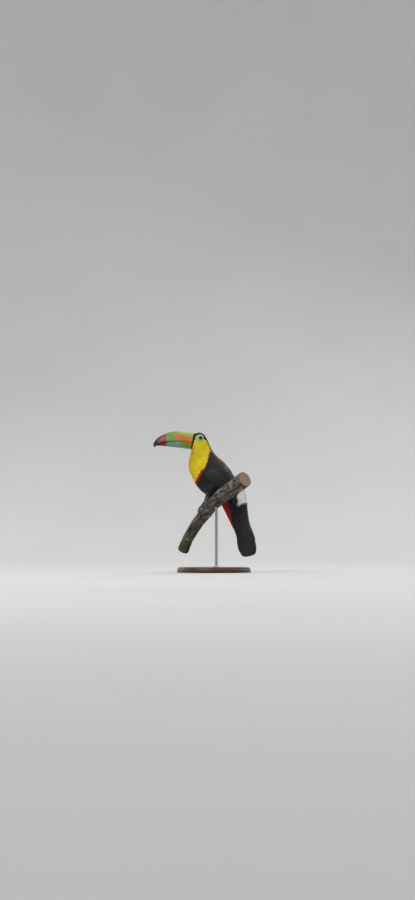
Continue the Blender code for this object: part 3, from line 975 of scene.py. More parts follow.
def coat(plain, gloss):
    """The contour feathers of head, neck, trunk and tail base, and the small coverts of the wings."""
    at, angle = coat_roots(np.random.default_rng(21))
    clear = is_clear(at, angle)
    at, angle = at[clear], angle[clear]
    colour, kind = markings(at, angle)
    _, _, length, width, depth = coat_sizes(at)
    length *= 1 - 0.3 * ease(at, 1.2, 0.0)
    length *= 1 - 0.35 * ease(bare_distance(at, angle), 1.5, 1.0) * (at < EYE_REGION_END)
    black, red, white = kind == "black", kind == "red", kind == "white"
    head, tail_base = at < HEAD_END, at > TRUNK_END - 0.4
    neck = ~head & (at < WING_START)
    bib = ~head & (at < 10.5) & ((kind == "yellow") | red)
    body, left = black & ~head & ~neck & ~tail_base, angle > 0
    whole = (-math.pi, math.pi)
    pieces = (
        ("coat_head", SOFT, head, (-0.2, HEAD_END), whole),
        ("coat_bib", SOFT, bib, (3.6, 10.5), whole),
        ("coat_nape", CONTOUR, neck & black, (3.6, WING_START), whole),
        ("coat_left", CONTOUR, body & left, (7.3, 14.5), (0, math.pi)),
        ("coat_right", CONTOUR, body & ~left, (7.3, 14.5), (-math.pi, 0)),
        ("coat_rump", SOFT, white, (11, 15.5), whole),
        ("coat_vent", SOFT, red & (at > 10.5), (12, 17.6), whole),
        ("coat_tail_base", CONTOUR, tail_base & black, (14.3, COAT_END + 0.5), whole),
    )
    for name, feather, mask, *window in pieces:
        material = plain if feather is SOFT else gloss
        sizes = (length[mask], width[mask], depth[mask])
        roots = (at[mask], angle[mask])
        lay_feathers(name, feather, material, outer_surface, *roots, sizes, colour[mask], window)


THIGH_FEATHER = (11, 5.2, 2.0)  # length, width and depth


def thigh_feathers(name, material):
    """Short soft black feathers round one thigh, outside the trunk."""
    rng = np.random.default_rng(31 + len(name))
    surface = thigh_surface(name)
    share, angle = [], []
    for k in range(34):
        count = 36 - k // 2
        share.append(np.full(count, 0.04 + 0.027 * k) + rng.uniform(-0.01, 0.01, count))
        angle.append(staggered(count, k, rng))
    share, angle = np.concatenate(share), np.concatenate(angle)
    roots = surface(share, angle)
    _, off_bark = off_perch(roots, 0)
    pace_along, _ = pace(surface, share, angle)
    keep = (depth_inside(body_tree(), roots) < 2.5) & (off_bark > -1) & (share < 0.9) & (pace_along > 32)
    share, angle = share[keep], angle[keep]
    sizes = [np.full(len(share), size) for size in THIGH_FEATHER]
    colours = np.repeat(BLACK[None], len(share), 0)
    window = ((0, 1.1), (0, TURN + 0.1))
    lay_feathers(f"coat_thigh_{name}", CONTOUR, material, surface, share, angle, sizes, colours, window)


def body_tree():
    """A search tree of the body and folded wings."""
    points = capped_rings(outer_surface(np.linspace(0, 20, 160)[:, None], circle(96)))
    return BVHTree.FromPolygons(points.reshape(-1, 3).tolist(), ring_faces(points).tolist())


def depth_inside(tree, points):
    """How deep each point lies inside the closed surface, in mm; negative outside."""
    depths = []
    for point in points:
        place, normal, _, _ = tree.find_nearest(Vector(point))
        depths.append(-(Vector(point) - place).dot(normal))
    return np.array(depths)


VANE_ROWS = np.linspace(0, 1, 49)
VANE_THICKNESS = 0.3
SPLITS = 3  # in each flight feather's edges


def vane_columns(rachis):
    """Places across a flight feather, closest together at its shaft."""
    inner, outer = np.linspace(-1, rachis - 0.06, 5), np.linspace(rachis + 0.06, 1, 5)
    return np.concatenate((inner, (rachis,), outer))


def vane_outline(rng, tip):
    """Half width of each side of a flight feather along its length, with a few splits in its edge."""
    past_tip = np.maximum(VANE_ROWS - tip, 0) / (1 - tip)
    full = (0.45 + 0.55 * ease(VANE_ROWS, 0, 0.3)) * np.sqrt(np.clip(1 - past_tip**2.2, 0.004, 1))
    sides = np.stack((full, full), -1)
    for _ in range(SPLITS):
        split, side = 2 * rng.integers(8, 22), rng.integers(0, 2)
        sides[split, side] *= rng.uniform(0.78, 0.9)
    return sides


def flight_feather(place, width, rachis, rng, tip=0.8, shaft=0.4, camber=0.5):
    """Points of one flight feather, and their Barb map. place(u, sideways mm, lift mm) gives its surface."""
    v = vane_columns(rachis)
    sides = vane_outline(rng, tip)
    half = np.where(v < rachis, sides[:, :1], sides[:, 1:]) * width / 2
    u = np.repeat(VANE_ROWS[:, None], len(v), 1)
    ridge = np.exp(-(((v - rachis) / 0.045) ** 2)) * shaft * (1 - 0.75 * u)
    bow = camber * (1 - (v - rachis) ** 2)
    barb = 0.05 * np.sin(u * 61 + np.abs(v - rachis) * 9) * (np.abs(v - rachis) > 0.1)
    points = place(u, v * half, ridge + bow + barb)
    barb_map = stacked(u * 100 - BARB_SLANT * np.abs(v - rachis) * half, v * half)
    return points, barb_map


def vane_piece(name, feathers, colours, material):
    """Flight feathers joined in one piece. Each has its own strip of the bake map."""
    points = np.stack([feather[0] for feather in feathers])
    count, rows, columns, _ = points.shape
    faces = repeated(grid_faces(rows, columns), count, rows * columns)
    piece = mesh_piece(name, points, faces, material)
    u = VANE_ROWS[:, None]
    across = np.linspace(-1, 1, columns)
    # Painted sheen: each vane is painted paler along its edges. Painted shade: each vane is painted darker
    # towards its root, under the feathers over it.
    edge_sheen = 1 + 0.7 * np.abs(across) ** 4
    paint(piece, np.array(colours)[:, None, None] * ((0.85 + 0.25 * u) * edge_sheen)[..., None])
    strip = (np.arange(count)[:, None, None] + 0.5 + 0.42 * across) / count
    map_points(piece, stacked(strip, 0.02 + 0.96 * u), "OFBake")
    map_points(piece, np.stack([feather[1] for feather in feathers]), "Barb")
    thick = piece.modifiers.new("thickness", "SOLIDIFY")
    thick.thickness = VANE_THICKNESS * MM
    thick.offset = -1
    return settle(piece, "feather_black")


def wing_vane(surface, start, end, width, rachis, lifts, rng, **shape):
    """A flight feather of the folded wing, from (along, across) to (along, across)."""

    def place(u, sideways, lift):
        along = start[0] + (end[0] - start[0]) * u
        across = start[1] + (end[1] - start[1]) * u**1.15
        pace_across = pace(surface, along, across)[1]
        layer = lifts[0] + (lifts[1] - lifts[0]) * u**0.8
        return surface(along, across + sideways / pace_across, layer + lift)

    return flight_feather(place, width, rachis, rng, **shape)


# Outer to inner primaries: where each one ends along and across the folded wing.
PRIMARY_TIPS = (
    (0.90, 0.85), (0.955, 0.5), (1.0, 0.1), (0.985, -0.15), (0.955, -0.35), (0.92, -0.5), (0.885, -0.6),
)
# Rows of feathers over the primaries, first row lowest: number, start, end at the upper and lower
# edge, both across limits, width, lift at root, lift of the upper and the lower tip, and blunt end.
WING_ROWS = (
    (9, 0.27, 0.60, 0.77, 0.8, 12.5, -1.5, 0.3, -0.1, 0.84),
    (12, 0.20, 0.42, 0.47, 0.92, 9.4, -1.4, 0.75, 0.35, 0.78),
    (13, 0.14, 0.315, 0.36, 0.95, 8.4, -1.4, 1.15, 0.8, 0.74),
)


def wing(name, side, material):
    """The flight feathers and the greater coverts of one folded wing."""
    surface = wing_surface(side)
    rng = np.random.default_rng(41 + side)
    feathers = []
    for k, tip in enumerate(PRIMARY_TIPS):
        start = (0.42, 0.92 - 0.16 * k)
        lifts = (-1.6 + 0.12 * k, -1.0 + 0.1 * k)
        feathers.append(wing_vane(surface, start, tip, 9, -0.35 * side, lifts, rng, tip=0.7))
    for count, start, upper_end, lower_end, limit, width, root, upper_tip, lower_tip, blunt in WING_ROWS:
        for k in reversed(range(count)):
            f = k / (count - 1)
            end = upper_end + (lower_end - upper_end) * f + rng.uniform(-0.012, 0.012)
            across = -limit + 2 * limit * f + rng.uniform(-0.02, 0.02)
            lifts = (root, upper_tip + (lower_tip - upper_tip) * f)
            size = width * rng.uniform(0.94, 1.08)
            ends = (start, across), (end, across * 0.97)
            feathers.append(wing_vane(surface, *ends, size, -0.15 * side, lifts, rng, tip=blunt, shaft=0.3))
    colours = [BLACK * rng.uniform(0.8, 1.3) for _ in feathers]
    vane_piece(f"flight_feathers_{name}", feathers, colours, material)


# Tail feathers from the middle pair outwards: sideways share, layer, and the section of the tip.
TAIL_PAIRS = (
    (0.17, 0.9, 22.92),
    (0.5, 0.5, 22.78),
    (0.72, 0.08, 22.5),
    (0.88, -0.36, 22.1),
    (1.0, -0.78, 21.45),
)
RECTRIX_WIDTH = 25


def tail(material):
    """Five pairs of tail feathers, the middle pair on top."""
    rng = np.random.default_rng(51)
    feathers, colours = [], []
    for share, layer, tip_at in reversed(TAIL_PAIRS):
        for side in (-1, 1):

            def place(u, sideways, lift):
                at = TAIL_ROOT + (tip_at - TAIL_ROOT) * u
                half_width = np.minimum(rows_at(BODY, np.minimum(at, 21))[..., 4], 33)
                centre = side * share * (half_width - RECTRIX_WIDTH / 2)
                level = layer - 0.05 * side + 0 * u
                point = tail_surface(at, centre + sideways, level)
                above = tail_surface(at, centre + sideways, level + 0.05)
                root = -1.8 * ease(u, 0.14, 0.0)
                return point + unit(above - point) * (lift - 0.5 + root)[..., None]

            vane = flight_feather(place, RECTRIX_WIDTH, 0.12 * side, rng, tip=0.86, shaft=0.45, camber=0.4)
            feathers.append(vane)
            colours.append(BLACK * rng.uniform(0.9, 1.15))
    vane_piece("tail_feathers", feathers, colours, material)


# ---- skin, legs and head --------------------------------------------------------------------------


def capped_rings(points):
    """The rings with one more at each end, drawn in to the end ring's middle."""
    first, last = (np.broadcast_to(ring.mean(0), ring.shape)[None] for ring in (points[0], points[-1]))
    return np.concatenate((first, points, last))


def joined(parts):
    """One set of points and faces from several."""
    points, faces, start = [], [], 0
    for part_points, part_faces in parts:
        points.append(part_points.reshape(-1, 3))
        faces.append(part_faces + start)
        start += part_points.size // 3
    return np.concatenate(points), np.concatenate(faces)


UNDER_COAT_SHADE = 0.6  # painted shade: how much darker the skin is painted than the feathers over it
SKIN_VOXEL = 1.7


def feathered_skin():
    """The body, wings and thighs as one closed surface inside the coat, and its colours."""
    at, ring = np.linspace(-0.12, 18.9, 120), circle(72)
    depth = coat_sizes(at)[4][:, None] + 0.3 * ease(at, 1.2, 0.2)[:, None]
    body = capped_rings(outer_surface(at[:, None], ring[None], -depth))
    parts = [(body, ring_faces(body))]
    for name in FEET:
        share = np.linspace(0.02, 0.97, 28)[:, None]
        thigh = capped_rings(thigh_surface(name)(share, circle(40), -THIGH_FEATHER[2]))
        parts.append((thigh, ring_faces(thigh)))
    rough = mesh_piece("rough_skin", *joined(parts))
    remesh = rough.modifiers.new("one_skin", "REMESH")
    remesh.mode = "VOXEL"
    remesh.voxel_size = SKIN_VOXEL * MM
    smooth = rough.modifiers.new("smooth", "SMOOTH")
    smooth.factor = 0.5
    smooth.iterations = 3
    fine = rough.evaluated_get(bpy.context.evaluated_depsgraph_get()).to_mesh()
    points = np.empty(len(fine.vertices) * 3)
    fine.vertices.foreach_get("co", points)
    faces = np.array([tuple(p.vertices) for p in fine.polygons if len(p.vertices) == 4])
    bpy.data.objects.remove(rough)
    points, _ = off_perch(points.reshape(-1, 3) / MM, 0.15)

    places = stacked(at[:, None], ring[None]).reshape(-1, 2)
    tree = KDTree(len(places))
    for k, point in enumerate(body[1:-1].reshape(-1, 3)):
        tree.insert(point, k)
    tree.balance()
    nearest_at, nearest_angle = places[[tree.find(point)[1] for point in points]].T
    colour, _ = markings(np.maximum(nearest_at - 0.25, 0), (nearest_angle + math.pi) % TURN - math.pi)
    # The skin takes the plumage's colours, darkened as painted shade under the coat.
    return points, faces, colour * UNDER_COAT_SHADE


APERTURE = 4.3  # half the width of the eye's opening
LID_EDGE, LID_RISE = 5.3, 0.75


def eye_middle(side):
    """The eyeball's middle. The head is symmetrical, and isn't turned."""
    return PERCH_POINT + EYE * np.array((side, 1, 1))


def eye_surround(side):
    """Bare skin round one eye: the lids' rim, the folds round it, and an edge under the feathers."""
    rows, columns = 60, 144
    ring = circle(columns)
    share = np.linspace(0, 1, rows)[:, None] ** 1.15
    back, down = np.cos(ring), np.sin(ring)
    reach = 1.07 * bare_reach(back, down)
    distance = APERTURE + (reach - APERTURE) * share
    offset_back, offset_down = distance * back, distance * down
    at, angle = head_place(EYE[1] + offset_back, EYE[2] - offset_down)
    flat = np.stack((offset_back, offset_down), -1)
    strength = np.clip(0.6 + 0.5 * ripples(flat, 12, 6), 0.1, 1.3)
    furrows = np.sin(distance * 2.9 + 1.9 * ripples(flat, 13, 3)) * 0.16 * strength
    crinkle = 0.045 * ripples(flat, 2.8, 4) + 0.035 * ripples(flat, 1.3, 7)
    folds = (furrows + crinkle) * ease(distance, 5.6, 7.2)
    crow_feet = np.sin(ring * 17 + 2.1 * np.sin(ring * 3) + distance) * ease(distance, 5.0, 6.0)
    folds += crow_feet * ease(distance, 9.5, 6.4) * 0.09
    tuck = -1.3 * ease(share, 0.88, 1.0)
    base = body_surface(at, side * angle, -0.2 + folds + tuck)
    eye = eye_middle(side)
    spoke = base - eye
    far = np.linalg.norm(spoke, axis=-1, keepdims=True)
    rim = 0.3 + LID_RISE * ease(distance, APERTURE, APERTURE + 0.4) * ease(distance, 6.4, LID_EDGE)
    rim = rim + 0.05 * np.sin(ring * 38) * ease(distance, 5.9, 4.9)
    lid = EYE_RADIUS + rim[..., None]
    wrapped = eye + spoke / far * np.maximum(lid, far * ease(distance, 4.8, 6.6)[..., None])
    inner = eye + spoke[:1] / far[:1] * (EYE_RADIUS - 0.25)
    points = np.concatenate((inner, wrapped))
    distance = np.concatenate((distance[:1], distance))
    folds = np.concatenate((folds[:1], folds))
    outward = ease(distance / reach, 0.5, 0.95)
    tone = mix(BARE_SKIN, BARE_EDGE, outward)
    tone = mix(tone, LID_SKIN, ease(distance, 6.6, 5.6))
    tone = mix(tone, LID_SKIN * 0.35, ease(distance, 4.75, 4.45))
    # Painted shade and highlight: the bare skin is painted darker in its furrows and lighter on its folds.
    fold_shade = np.clip(1 + 1.1 * folds, 0.6, 1.3)
    return points, ring_faces(points), tone * fold_shade[..., None]


PLATE_STEPS = (0, 0.12, 0.45, 0.75, 0.92, 0.99)  # the rows that draw each plate, as shares of it
PLATE_RELIEF = ((0, -0.09), (0.12, 0.03), (0.75, 0.09), (0.92, 0.07), (1, -0.09))  # share, rise


def plate_rows(plates):
    """Shares of a toe's or shank's length, with the same few rows on each of its plates."""
    return ((np.arange(plates)[:, None] + np.array(PLATE_STEPS)) / plates).ravel()


def line_frame(line, dorsal):
    """The unit vectors up and across that go with a line of points."""
    along = unit(np.gradient(line, axis=0))
    dorsal = unit(square_to(dorsal, along))
    return dorsal, np.cross(along, dorsal)


def scaled_tube(line, dorsal, radii, sides=24):
    """A toe or shank: overlapping plates along its upper side, pads under it, and rounded ends."""
    length, ring = lengths_along(*line.T), circle(sides)
    step = np.tile(PLATE_STEPS, len(line) // len(PLATE_STEPS))
    from_end = np.clip(1 - np.minimum(length, length[-1] - length) / radii, 0, 1)
    ends = np.sqrt(np.clip(1 - from_end**2, 0.01, 1))
    top = np.clip(np.cos(ring), 0, 1)[None] ** 0.6
    under = np.clip(-np.cos(ring), 0, 1)[None]
    plates = np.interp(step, *zip(*PLATE_RELIEF))[:, None] * top
    pads = 0.07 * np.sin(length[:, None] / 6.5 * TURN) * under
    grain = 0.02 * np.sin(length[:, None] * 5.1) * np.sin(ring * 7)[None]
    reach = (radii * ends)[:, None] * (0.96 + plates + pads + grain)
    points = line[:, None] + reach[..., None] * spokes(*line_frame(line, dorsal), ring)
    seam = 1 - 0.55 * top * ((step < 0.06) | (step > 0.95))[:, None]
    tone = LEG_BLUE * ((0.8 + 0.3 * top) * seam)[..., None]
    capped = capped_rings(points)
    tone = np.concatenate((tone[:1], tone, tone[-1:]))
    return capped, ring_faces(capped), tone


PLATES_PER_DEGREE = 0.17  # of the angle that a toe wraps round the branch
SHANK_PLATES = 8


def leg_skin(name, side):
    """The bare shank, palm and toes of one leg."""
    at = FEET[name]
    centre, along, up, forward, _ = perch_frame(at)
    parts = []
    for _, direction, start, wrap, spread in TOES:
        f = plate_rows(round((wrap + TOE_OVERLAP) * PLATES_PER_DEGREE))
        radii = TOE_RADIUS + (TOE_TIP_RADIUS - TOE_RADIUS) * f
        wraps = direction * ((wrap + TOE_OVERLAP) * f - TOE_OVERLAP)
        line = round_perch(np.full(len(f), at), wraps, side * (start + spread * f), radii + TOE_CLEARANCE)
        parts.append(scaled_tube(line, line - centre, radii))
    top = palm_top(at)
    heel = -PALM[2] * 0.8
    shank = top + unit(hip(name) - top) * (heel + (SHANK_REACH - heel) * plate_rows(SHANK_PLATES))[:, None]
    radii = np.full(len(shank), SHANK_RADIUS)
    parts.append(scaled_tube(shank, np.broadcast_to(forward, shank.shape), radii))
    ring, rise = circle(28), np.linspace(0.02, math.pi - 0.02, 20)[:, None]
    swell = PALM * (1 + 0.03 * np.sin(ring * 6) * np.sin(rise * 5))[..., None]
    ball = swell * stacked(np.cos(ring) * np.sin(rise), np.sin(ring) * np.sin(rise), np.cos(rise))
    ball = palm_centre(at) + ball @ np.stack((along, forward, up))
    parts.append((ball, ring_faces(ball), np.broadcast_to(LEG_BLUE * 0.95, ball.shape)))
    return parts


def skin(materials):
    """One skin for all the flesh: under the plumage, round the eyes, and on the legs and feet."""
    parts = [(*feathered_skin(), 0)]
    for name, side in SIDES:
        parts.append((*eye_surround(side), 1))
        parts += [(*part, 2) for part in leg_skin(name, side)]
    points, faces = joined([part[:2] for part in parts])
    piece = mesh_piece("skin", points, faces, *materials)
    paint(piece, np.concatenate([part[2].reshape(-1, 3) for part in parts]))
    slots = np.concatenate([np.full(len(part[1]), part[3]) for part in parts])
    piece.data.polygons.foreach_set("material_index", slots.astype(np.int32))
    nodes = ["head", "neck", "trunk", "tail"]
    for part in ("wing", "thigh", "shank", "foot"):
        nodes += [f"{part}_left", f"{part}_right"]
    return settle(piece, "feather_black", *nodes)


PUPIL = np.full(3, 0.0012)
IRIS = np.array((0.040, 0.030, 0.010))
EYE_RIM = np.array((0.012, 0.010, 0.008))
PUPIL_EDGE, IRIS_EDGE = (2.7, 2.9), (4.0, 4.5)  # distances from the eye's axis


def eye(name, side, material):
    """The eyeball, with a dark pupil in an olive-brown iris behind a raised cornea."""
    rise, ring = np.linspace(0, math.pi, 48)[:, None], circle(64)
    radius = EYE_RADIUS * (1 + 0.035 * np.exp(-((rise / 0.5) ** 2)))
    lateral = radius * np.sin(rise)
    offset = stacked(side * radius * np.cos(rise), lateral * np.cos(ring), lateral * np.sin(ring))
    piece = mesh_piece(f"eyeball_{name}", eye_middle(side) + offset, ring_faces(offset), material)
    from_axis = EYE_RADIUS * np.sin(rise) * np.ones_like(ring)
    fibres = 1 + 0.25 * np.sin(ring * 47) * np.sin(ring * 13 + rise * 9)
    tone = mix(PUPIL, IRIS * fibres[..., None], ease(from_axis, *PUPIL_EDGE))
    tone = mix(tone, EYE_RIM, ease(from_axis, *IRIS_EDGE))
    paint(piece, np.where((rise < math.pi / 2)[..., None], tone, EYE_RIM))
    return settle(piece, "eye", f"eye_{name}")


BILL_GREEN = np.array((0.120, 0.245, 0.012))
BILL_RIDGE = np.array((0.34, 0.45, 0.030))
BILL_LOWER_GREEN = np.array((0.165, 0.285, 0.022))
BILL_BLUE = np.array((0.115, 0.31, 0.36))
BILL_ORANGE = np.array((0.56, 0.130, 0.008))
BILL_RED = np.array((0.20, 0.010, 0.010))
BILL_TIP = np.array((0.040, 0.004, 0.006))
BILL_RIM = np.full(3, 0.006)
BASE_RIM = 2.8  # the width of the black rim along the base, whose line leans back with height
BILL_BASE_Y, BILL_BASE_Z, BILL_BASE_SLOPE = -37.2, 174, 0.17
# Where along the bill each colour fades in, from the first y to the second.
BLUE_FRONT, BLUE_REAR = (-119, -109), (-66, -80)
LOWER_BLAZE, UPPER_BLAZE = (-72, -60), (-99, -84)
RIDGE_LIGHT, RED_START, TIP_DARK = (-108, -60), (-114, -120), (-126, -145)


def bill_tones(y, z, t, lower):
    """The bill's colours: green, an orange blaze, a blue patch below, a dark red tip, a black base.

    t runs from the cutting edge, 0, to the ridge or keel, 1."""
    place = np.stack((y * 0.35, z, t * 20), -1)
    wave = ripples(place, 16, 5) * 0.5
    feather = ripples(place * np.array((1, 2.2, 2.2)), 7, 15) * 0.5
    if lower:
        tone = mix(BILL_GREEN, BILL_LOWER_GREEN, ease(t, 0.35, 0.9) * 0.8)
        blue = ease(y + feather * 4, *BLUE_FRONT) * ease(y + feather * 4, *BLUE_REAR)
        tone = mix(tone, BILL_BLUE, blue * ease(t + feather * 0.06, 0.92, 0.55) * 0.9)
        orange = ease(y + feather * 5, *LOWER_BLAZE) * ease(t + feather * 0.05, 0.5, 0.12)
        tone = mix(tone, BILL_ORANGE, orange * 0.55)
    else:
        tone = mix(BILL_GREEN, BILL_RIDGE, ease(t, 0.70, 0.90) * ease(y, *RIDGE_LIGHT) * 0.85)
        length = ease(y + wave * 5 + feather * 3, *UPPER_BLAZE)
        height = ease(t + wave * 0.05 + feather * 0.03, 0.74, 0.60)
        tone = mix(tone, BILL_ORANGE, length * height * (1 - 0.45 * ease(t, 0.12, 0.0)) * 0.95)
    tip = ease(y + wave * 2.5 + feather * 2 + (t - 0.5) * 5, *RED_START)
    tone = mix(tone, mix(BILL_RED, BILL_TIP, ease(y, *TIP_DARK)), tip)
    from_base = BILL_BASE_Y + BILL_BASE_SLOPE * (z - BILL_BASE_Z) - y
    return mix(tone, BILL_RIM, ease(from_base, BASE_RIM + 0.4, BASE_RIM - 0.1))


TIP_ROWS = 1.5  # rows of each table over which the bill rounds to its point
MOUTH_OVERLAP = -0.05  # the palates meet inside, so that no light passes between the halves
# Painted shade: the palates that close the mouth line between the halves are painted near black.
MOUTH_SHADE = np.array((0.02, 0.006, 0.006))
TOOTH_PITCH, TOOTH_DEPTH = 5.4, 0.55  # of the notches in the cutting edges


def bill_half(name, table, arch, material, lower=False):
    """One half of the bill: a keeled horn shell with a toothed cutting edge and a raised rim."""
    exponent, fullness = arch
    away = -1 if lower else 1
    last = len(table) - 1
    s = np.concatenate(((-0.16, -0.08), last * (1 - (1 - np.linspace(0, 1, 240)) ** 1.25)))
    t = (1 - (1 - np.linspace(0, 1, 30)) ** 1.5)[None]
    far_y, far_z, edge_y, edge_z, half_width = np.moveaxis(rows_at(table, s), -1, 0)[..., None]
    to_tip = np.clip((s - last + TIP_ROWS) / TIP_ROWS, 0, 1)[:, None]
    point = np.sqrt(np.clip(1 - to_tip**2, 0.0004, 1))
    far_y, far_z = edge_y + (far_y - edge_y) * point, edge_z + (far_z - edge_z) * point
    width = half_width * point * np.clip(1 - t**exponent, 0, 1) ** fullness
    length = lengths_along(edge_y[:, 0], edge_z[:, 0])[:, None]
    rough = ripples(stacked(length[:, 0] / 9, 0), 1.0, 8)[:, None]
    tooth = ((length + 1.2 * rough) / TOOTH_PITCH) % 1
    toothed = ease(length, 16, 30) * ease(length, length.max(), length.max() - 10)
    notch = TOOTH_DEPTH * toothed * (1 - tooth) ** 2
    rim = 0.18 * ease(length, 4.6, 3.4) - 0.5 * ease(length, 1.6, 0)
    groove = 0 if lower else -0.35 * np.exp(-(((t - 0.8) / 0.05) ** 2)) * ease(length, 6, 16)
    dents = 0.16 * ripples(stacked(length * 0.3, t * 40), 7, 9)
    swell = (rim + groove + dents) * np.clip(width / 3, 0, 1)
    y = edge_y + (far_y - edge_y) * t
    z = edge_z + (far_z - edge_z) * t + away * (GAP + notch * np.clip(1 - t * 9, 0, 1))
    one_side = stacked(np.maximum(width + swell, 0), y - GAP, z)
    other = one_side[:, :-1] * np.array((-1, 1, 1))
    across = np.linspace(-0.8, 0.8, 7)[None, :, None]
    palate = one_side[:, :1] * (across * np.array((1, 0, 0)) + np.array((0, 1, 1)))
    meeting = edge_z + away * MOUTH_OVERLAP
    palate[..., 2] += (meeting - palate[..., 2]) * ease(width[:, :1], 0.6, 2.0)
    points = np.concatenate((one_side, other[:, ::-1], palate), 1)
    ring_t = np.concatenate((t[0], t[0, :-1][::-1], np.zeros(7)))[None] * np.ones((len(s), 1))
    ends = capped_rings(PERCH_POINT + points)
    piece = mesh_piece(name, ends, ring_faces(ends), material)
    tone = bill_tones(points[..., 1], points[..., 2], ring_t, lower)
    # The palates get the painted shade of the mouth line.
    tone[:, -palate.shape[1] :] = MOUTH_SHADE
    paint(piece, np.concatenate((tone[:1], tone, tone[-1:])))
    return settle(piece, "bill", "bill_lower" if lower else "bill_upper")


CLAW_ARCH, CLAW_SLIM = 1.6, 0.72  # how high it arches off the bark, and its width over its depth


def claw(name, side, toe, material):
    """A curved claw, deeper than it is wide, that ends in a point."""
    number, direction, start, wrap, spread = toe
    f, ring = np.linspace(0, 1, 22), circle(16)
    radii = CLAW_RADIUS + (CLAW_TIP_RADIUS - CLAW_RADIUS) * f**1.3
    wraps = direction * (wrap + CLAW_GAP * 0.2 + (CLAW_GAP * 0.8 + CLAW_WRAP) * f)
    lift = radii + TOE_CLEARANCE + CLAW_ARCH * np.sin(math.pi * f)
    line = round_perch(np.full(len(f), FEET[name]), wraps, np.full(len(f), side * (start + spread)), lift)
    dorsal, across = line_frame(line, line - perch_frame(FEET[name])[0])
    points = capped_rings(line[:, None] + radii[:, None, None] * spokes(dorsal, across * CLAW_SLIM, ring))
    label = f"claw_{name}_{number}"
    return settle(mesh_piece(f"{label}_horn", points, ring_faces(points), material), "claw", label)


# ---- branch, stand and stage ----------------------------------------------------------------------


PERCH_SPACING = 43  # mm between the rows of PERCH, nearly
KNOT_SPACING = 87
MOST_BARK = 2.6  # depth of the deepest fissure
END_CRACKS = (9, 40, 66, 101, 131)  # the sides that the cracks in the sawn ends lie at


def branch(bark, sawn):
    """The cut branch: ridged bark inside its solid's outline, knots, and sawn ends with rings."""
    rings, sides, cap_rings = 300, 150, 12
    at, ring = np.linspace(0, len(PERCH) - 1, rings), circle(sides)
    centre, along, up, forward, radius = perch_frame(at)
    radius, length = radius[:, None], at[:, None] * PERCH_SPACING
    bark_place = stacked(length * 0.22, radius * np.cos(ring), radius * np.sin(ring))
    plates = np.abs(ripples(bark_place, 9, 61))
    fine = ripples(bark_place * np.array((3.0, 1, 1)), 4, 62)
    lumps = ripples(bark_place * np.array((2.5, 1, 1)), 38, 63)
    from_knot = (np.mod(length, KNOT_SPACING) - 40) / 5
    beside_knot = (np.cos(ring - 2.2 - length / 90) - 1) / 0.06
    depth = 0.25 + 1.1 * np.exp(-plates * 3.6) + 0.22 * fine + 0.55 * lumps
    depth += 1.2 * np.exp(-(from_knot**2) - beside_knot**2)
    depth = np.clip(depth, 0.02, MOST_BARK)
    from_foot = np.minimum.reduce([np.abs(at - foot) for foot in FEET.values()])[:, None]
    depth = depth * (0.25 + 0.75 * ease(from_foot, 0.25, 0.7))
    points = centre[:, None] + spokes(up, forward, ring) * (radius - depth)[..., None]
    shares = np.linspace(1, 0, cap_rings + 1)[1:]
    caps = []
    for k in (0, -1):
        edge = points[k]
        saw = 0.25 * np.sin(edge @ np.array((0.5, 0.2, 0.9)) * 2.2)[:, None] * along[k]
        caps.append(np.stack([centre[k] + (edge - centre[k]) * share + saw * share for share in shares]))
    stack = np.concatenate((caps[0][::-1], points, caps[1]))
    piece = mesh_piece("branch", stack, ring_faces(stack), bark, sawn)
    row_faces = np.repeat(np.arange(len(stack) - 1), sides)
    is_cap = (row_faces < cap_rings) | (row_faces >= len(stack) - 1 - cap_rings)
    piece.data.polygons.foreach_set("material_index", is_cap.astype(np.int32))
    piece.data.set_sharp_from_angle(angle=math.radians(50))
    # Painted shade: the bark is painted darker where its fissures cut deepest, and lighter on its plates.
    groove = np.clip(1.15 - 0.7 * np.exp(-plates * 3.0) + 0.07 * fine, 0.35, 1.25)
    cracks = 0.7 * np.isin(np.arange(sides), END_CRACKS)
    end = 1 - cracks * ease(shares, 0.15, 0.5)[:, None]
    paint(piece, np.concatenate((end[::-1], groove, end))[..., None] * np.ones(3))
    from_pith = np.concatenate((shares[::-1], np.ones(rings), shares))[:, None]
    map_points(piece, stacked(from_pith * 20, ring), "Rings")
    unmapped = np.zeros((cap_rings, sides, 2))
    bark_map = stacked(length, radius * np.abs(ring - math.pi))
    map_points(piece, np.concatenate((unmapped, bark_map, unmapped)), "Bark")
    return settle(piece, "bark", "perch")


# Turned outlines: radius and height.
BASE_PROFILE = (
    (0, 0), (60, 0), (109.4, 0), (110.8, 0.5), (111.7, 1.5), (112, 3), (112, 8), (111.7, 9.2), (110.9, 10),
    (109.8, 10.4), (109.3, 10.9), (109.2, 12.2), (108.8, 13.6), (107.9, 14.8), (106.4, 15.6), (104.4, 15.95),
    (102, 16), (60, 16), (20, 16), (8, 16), (0, 16),
)
COLLAR_PROFILE = (
    (4.05, 15.9), (9.4, 15.9), (9.7, 16.4), (9.7, 17.6), (9.3, 18.2), (7.8, 18.7), (6.2, 19.3), (5.4, 20.4),
    (5.2, 22.2), (4.9, 22.8), (4.05, 22.9),
)
ROD_BEVEL = 0.3


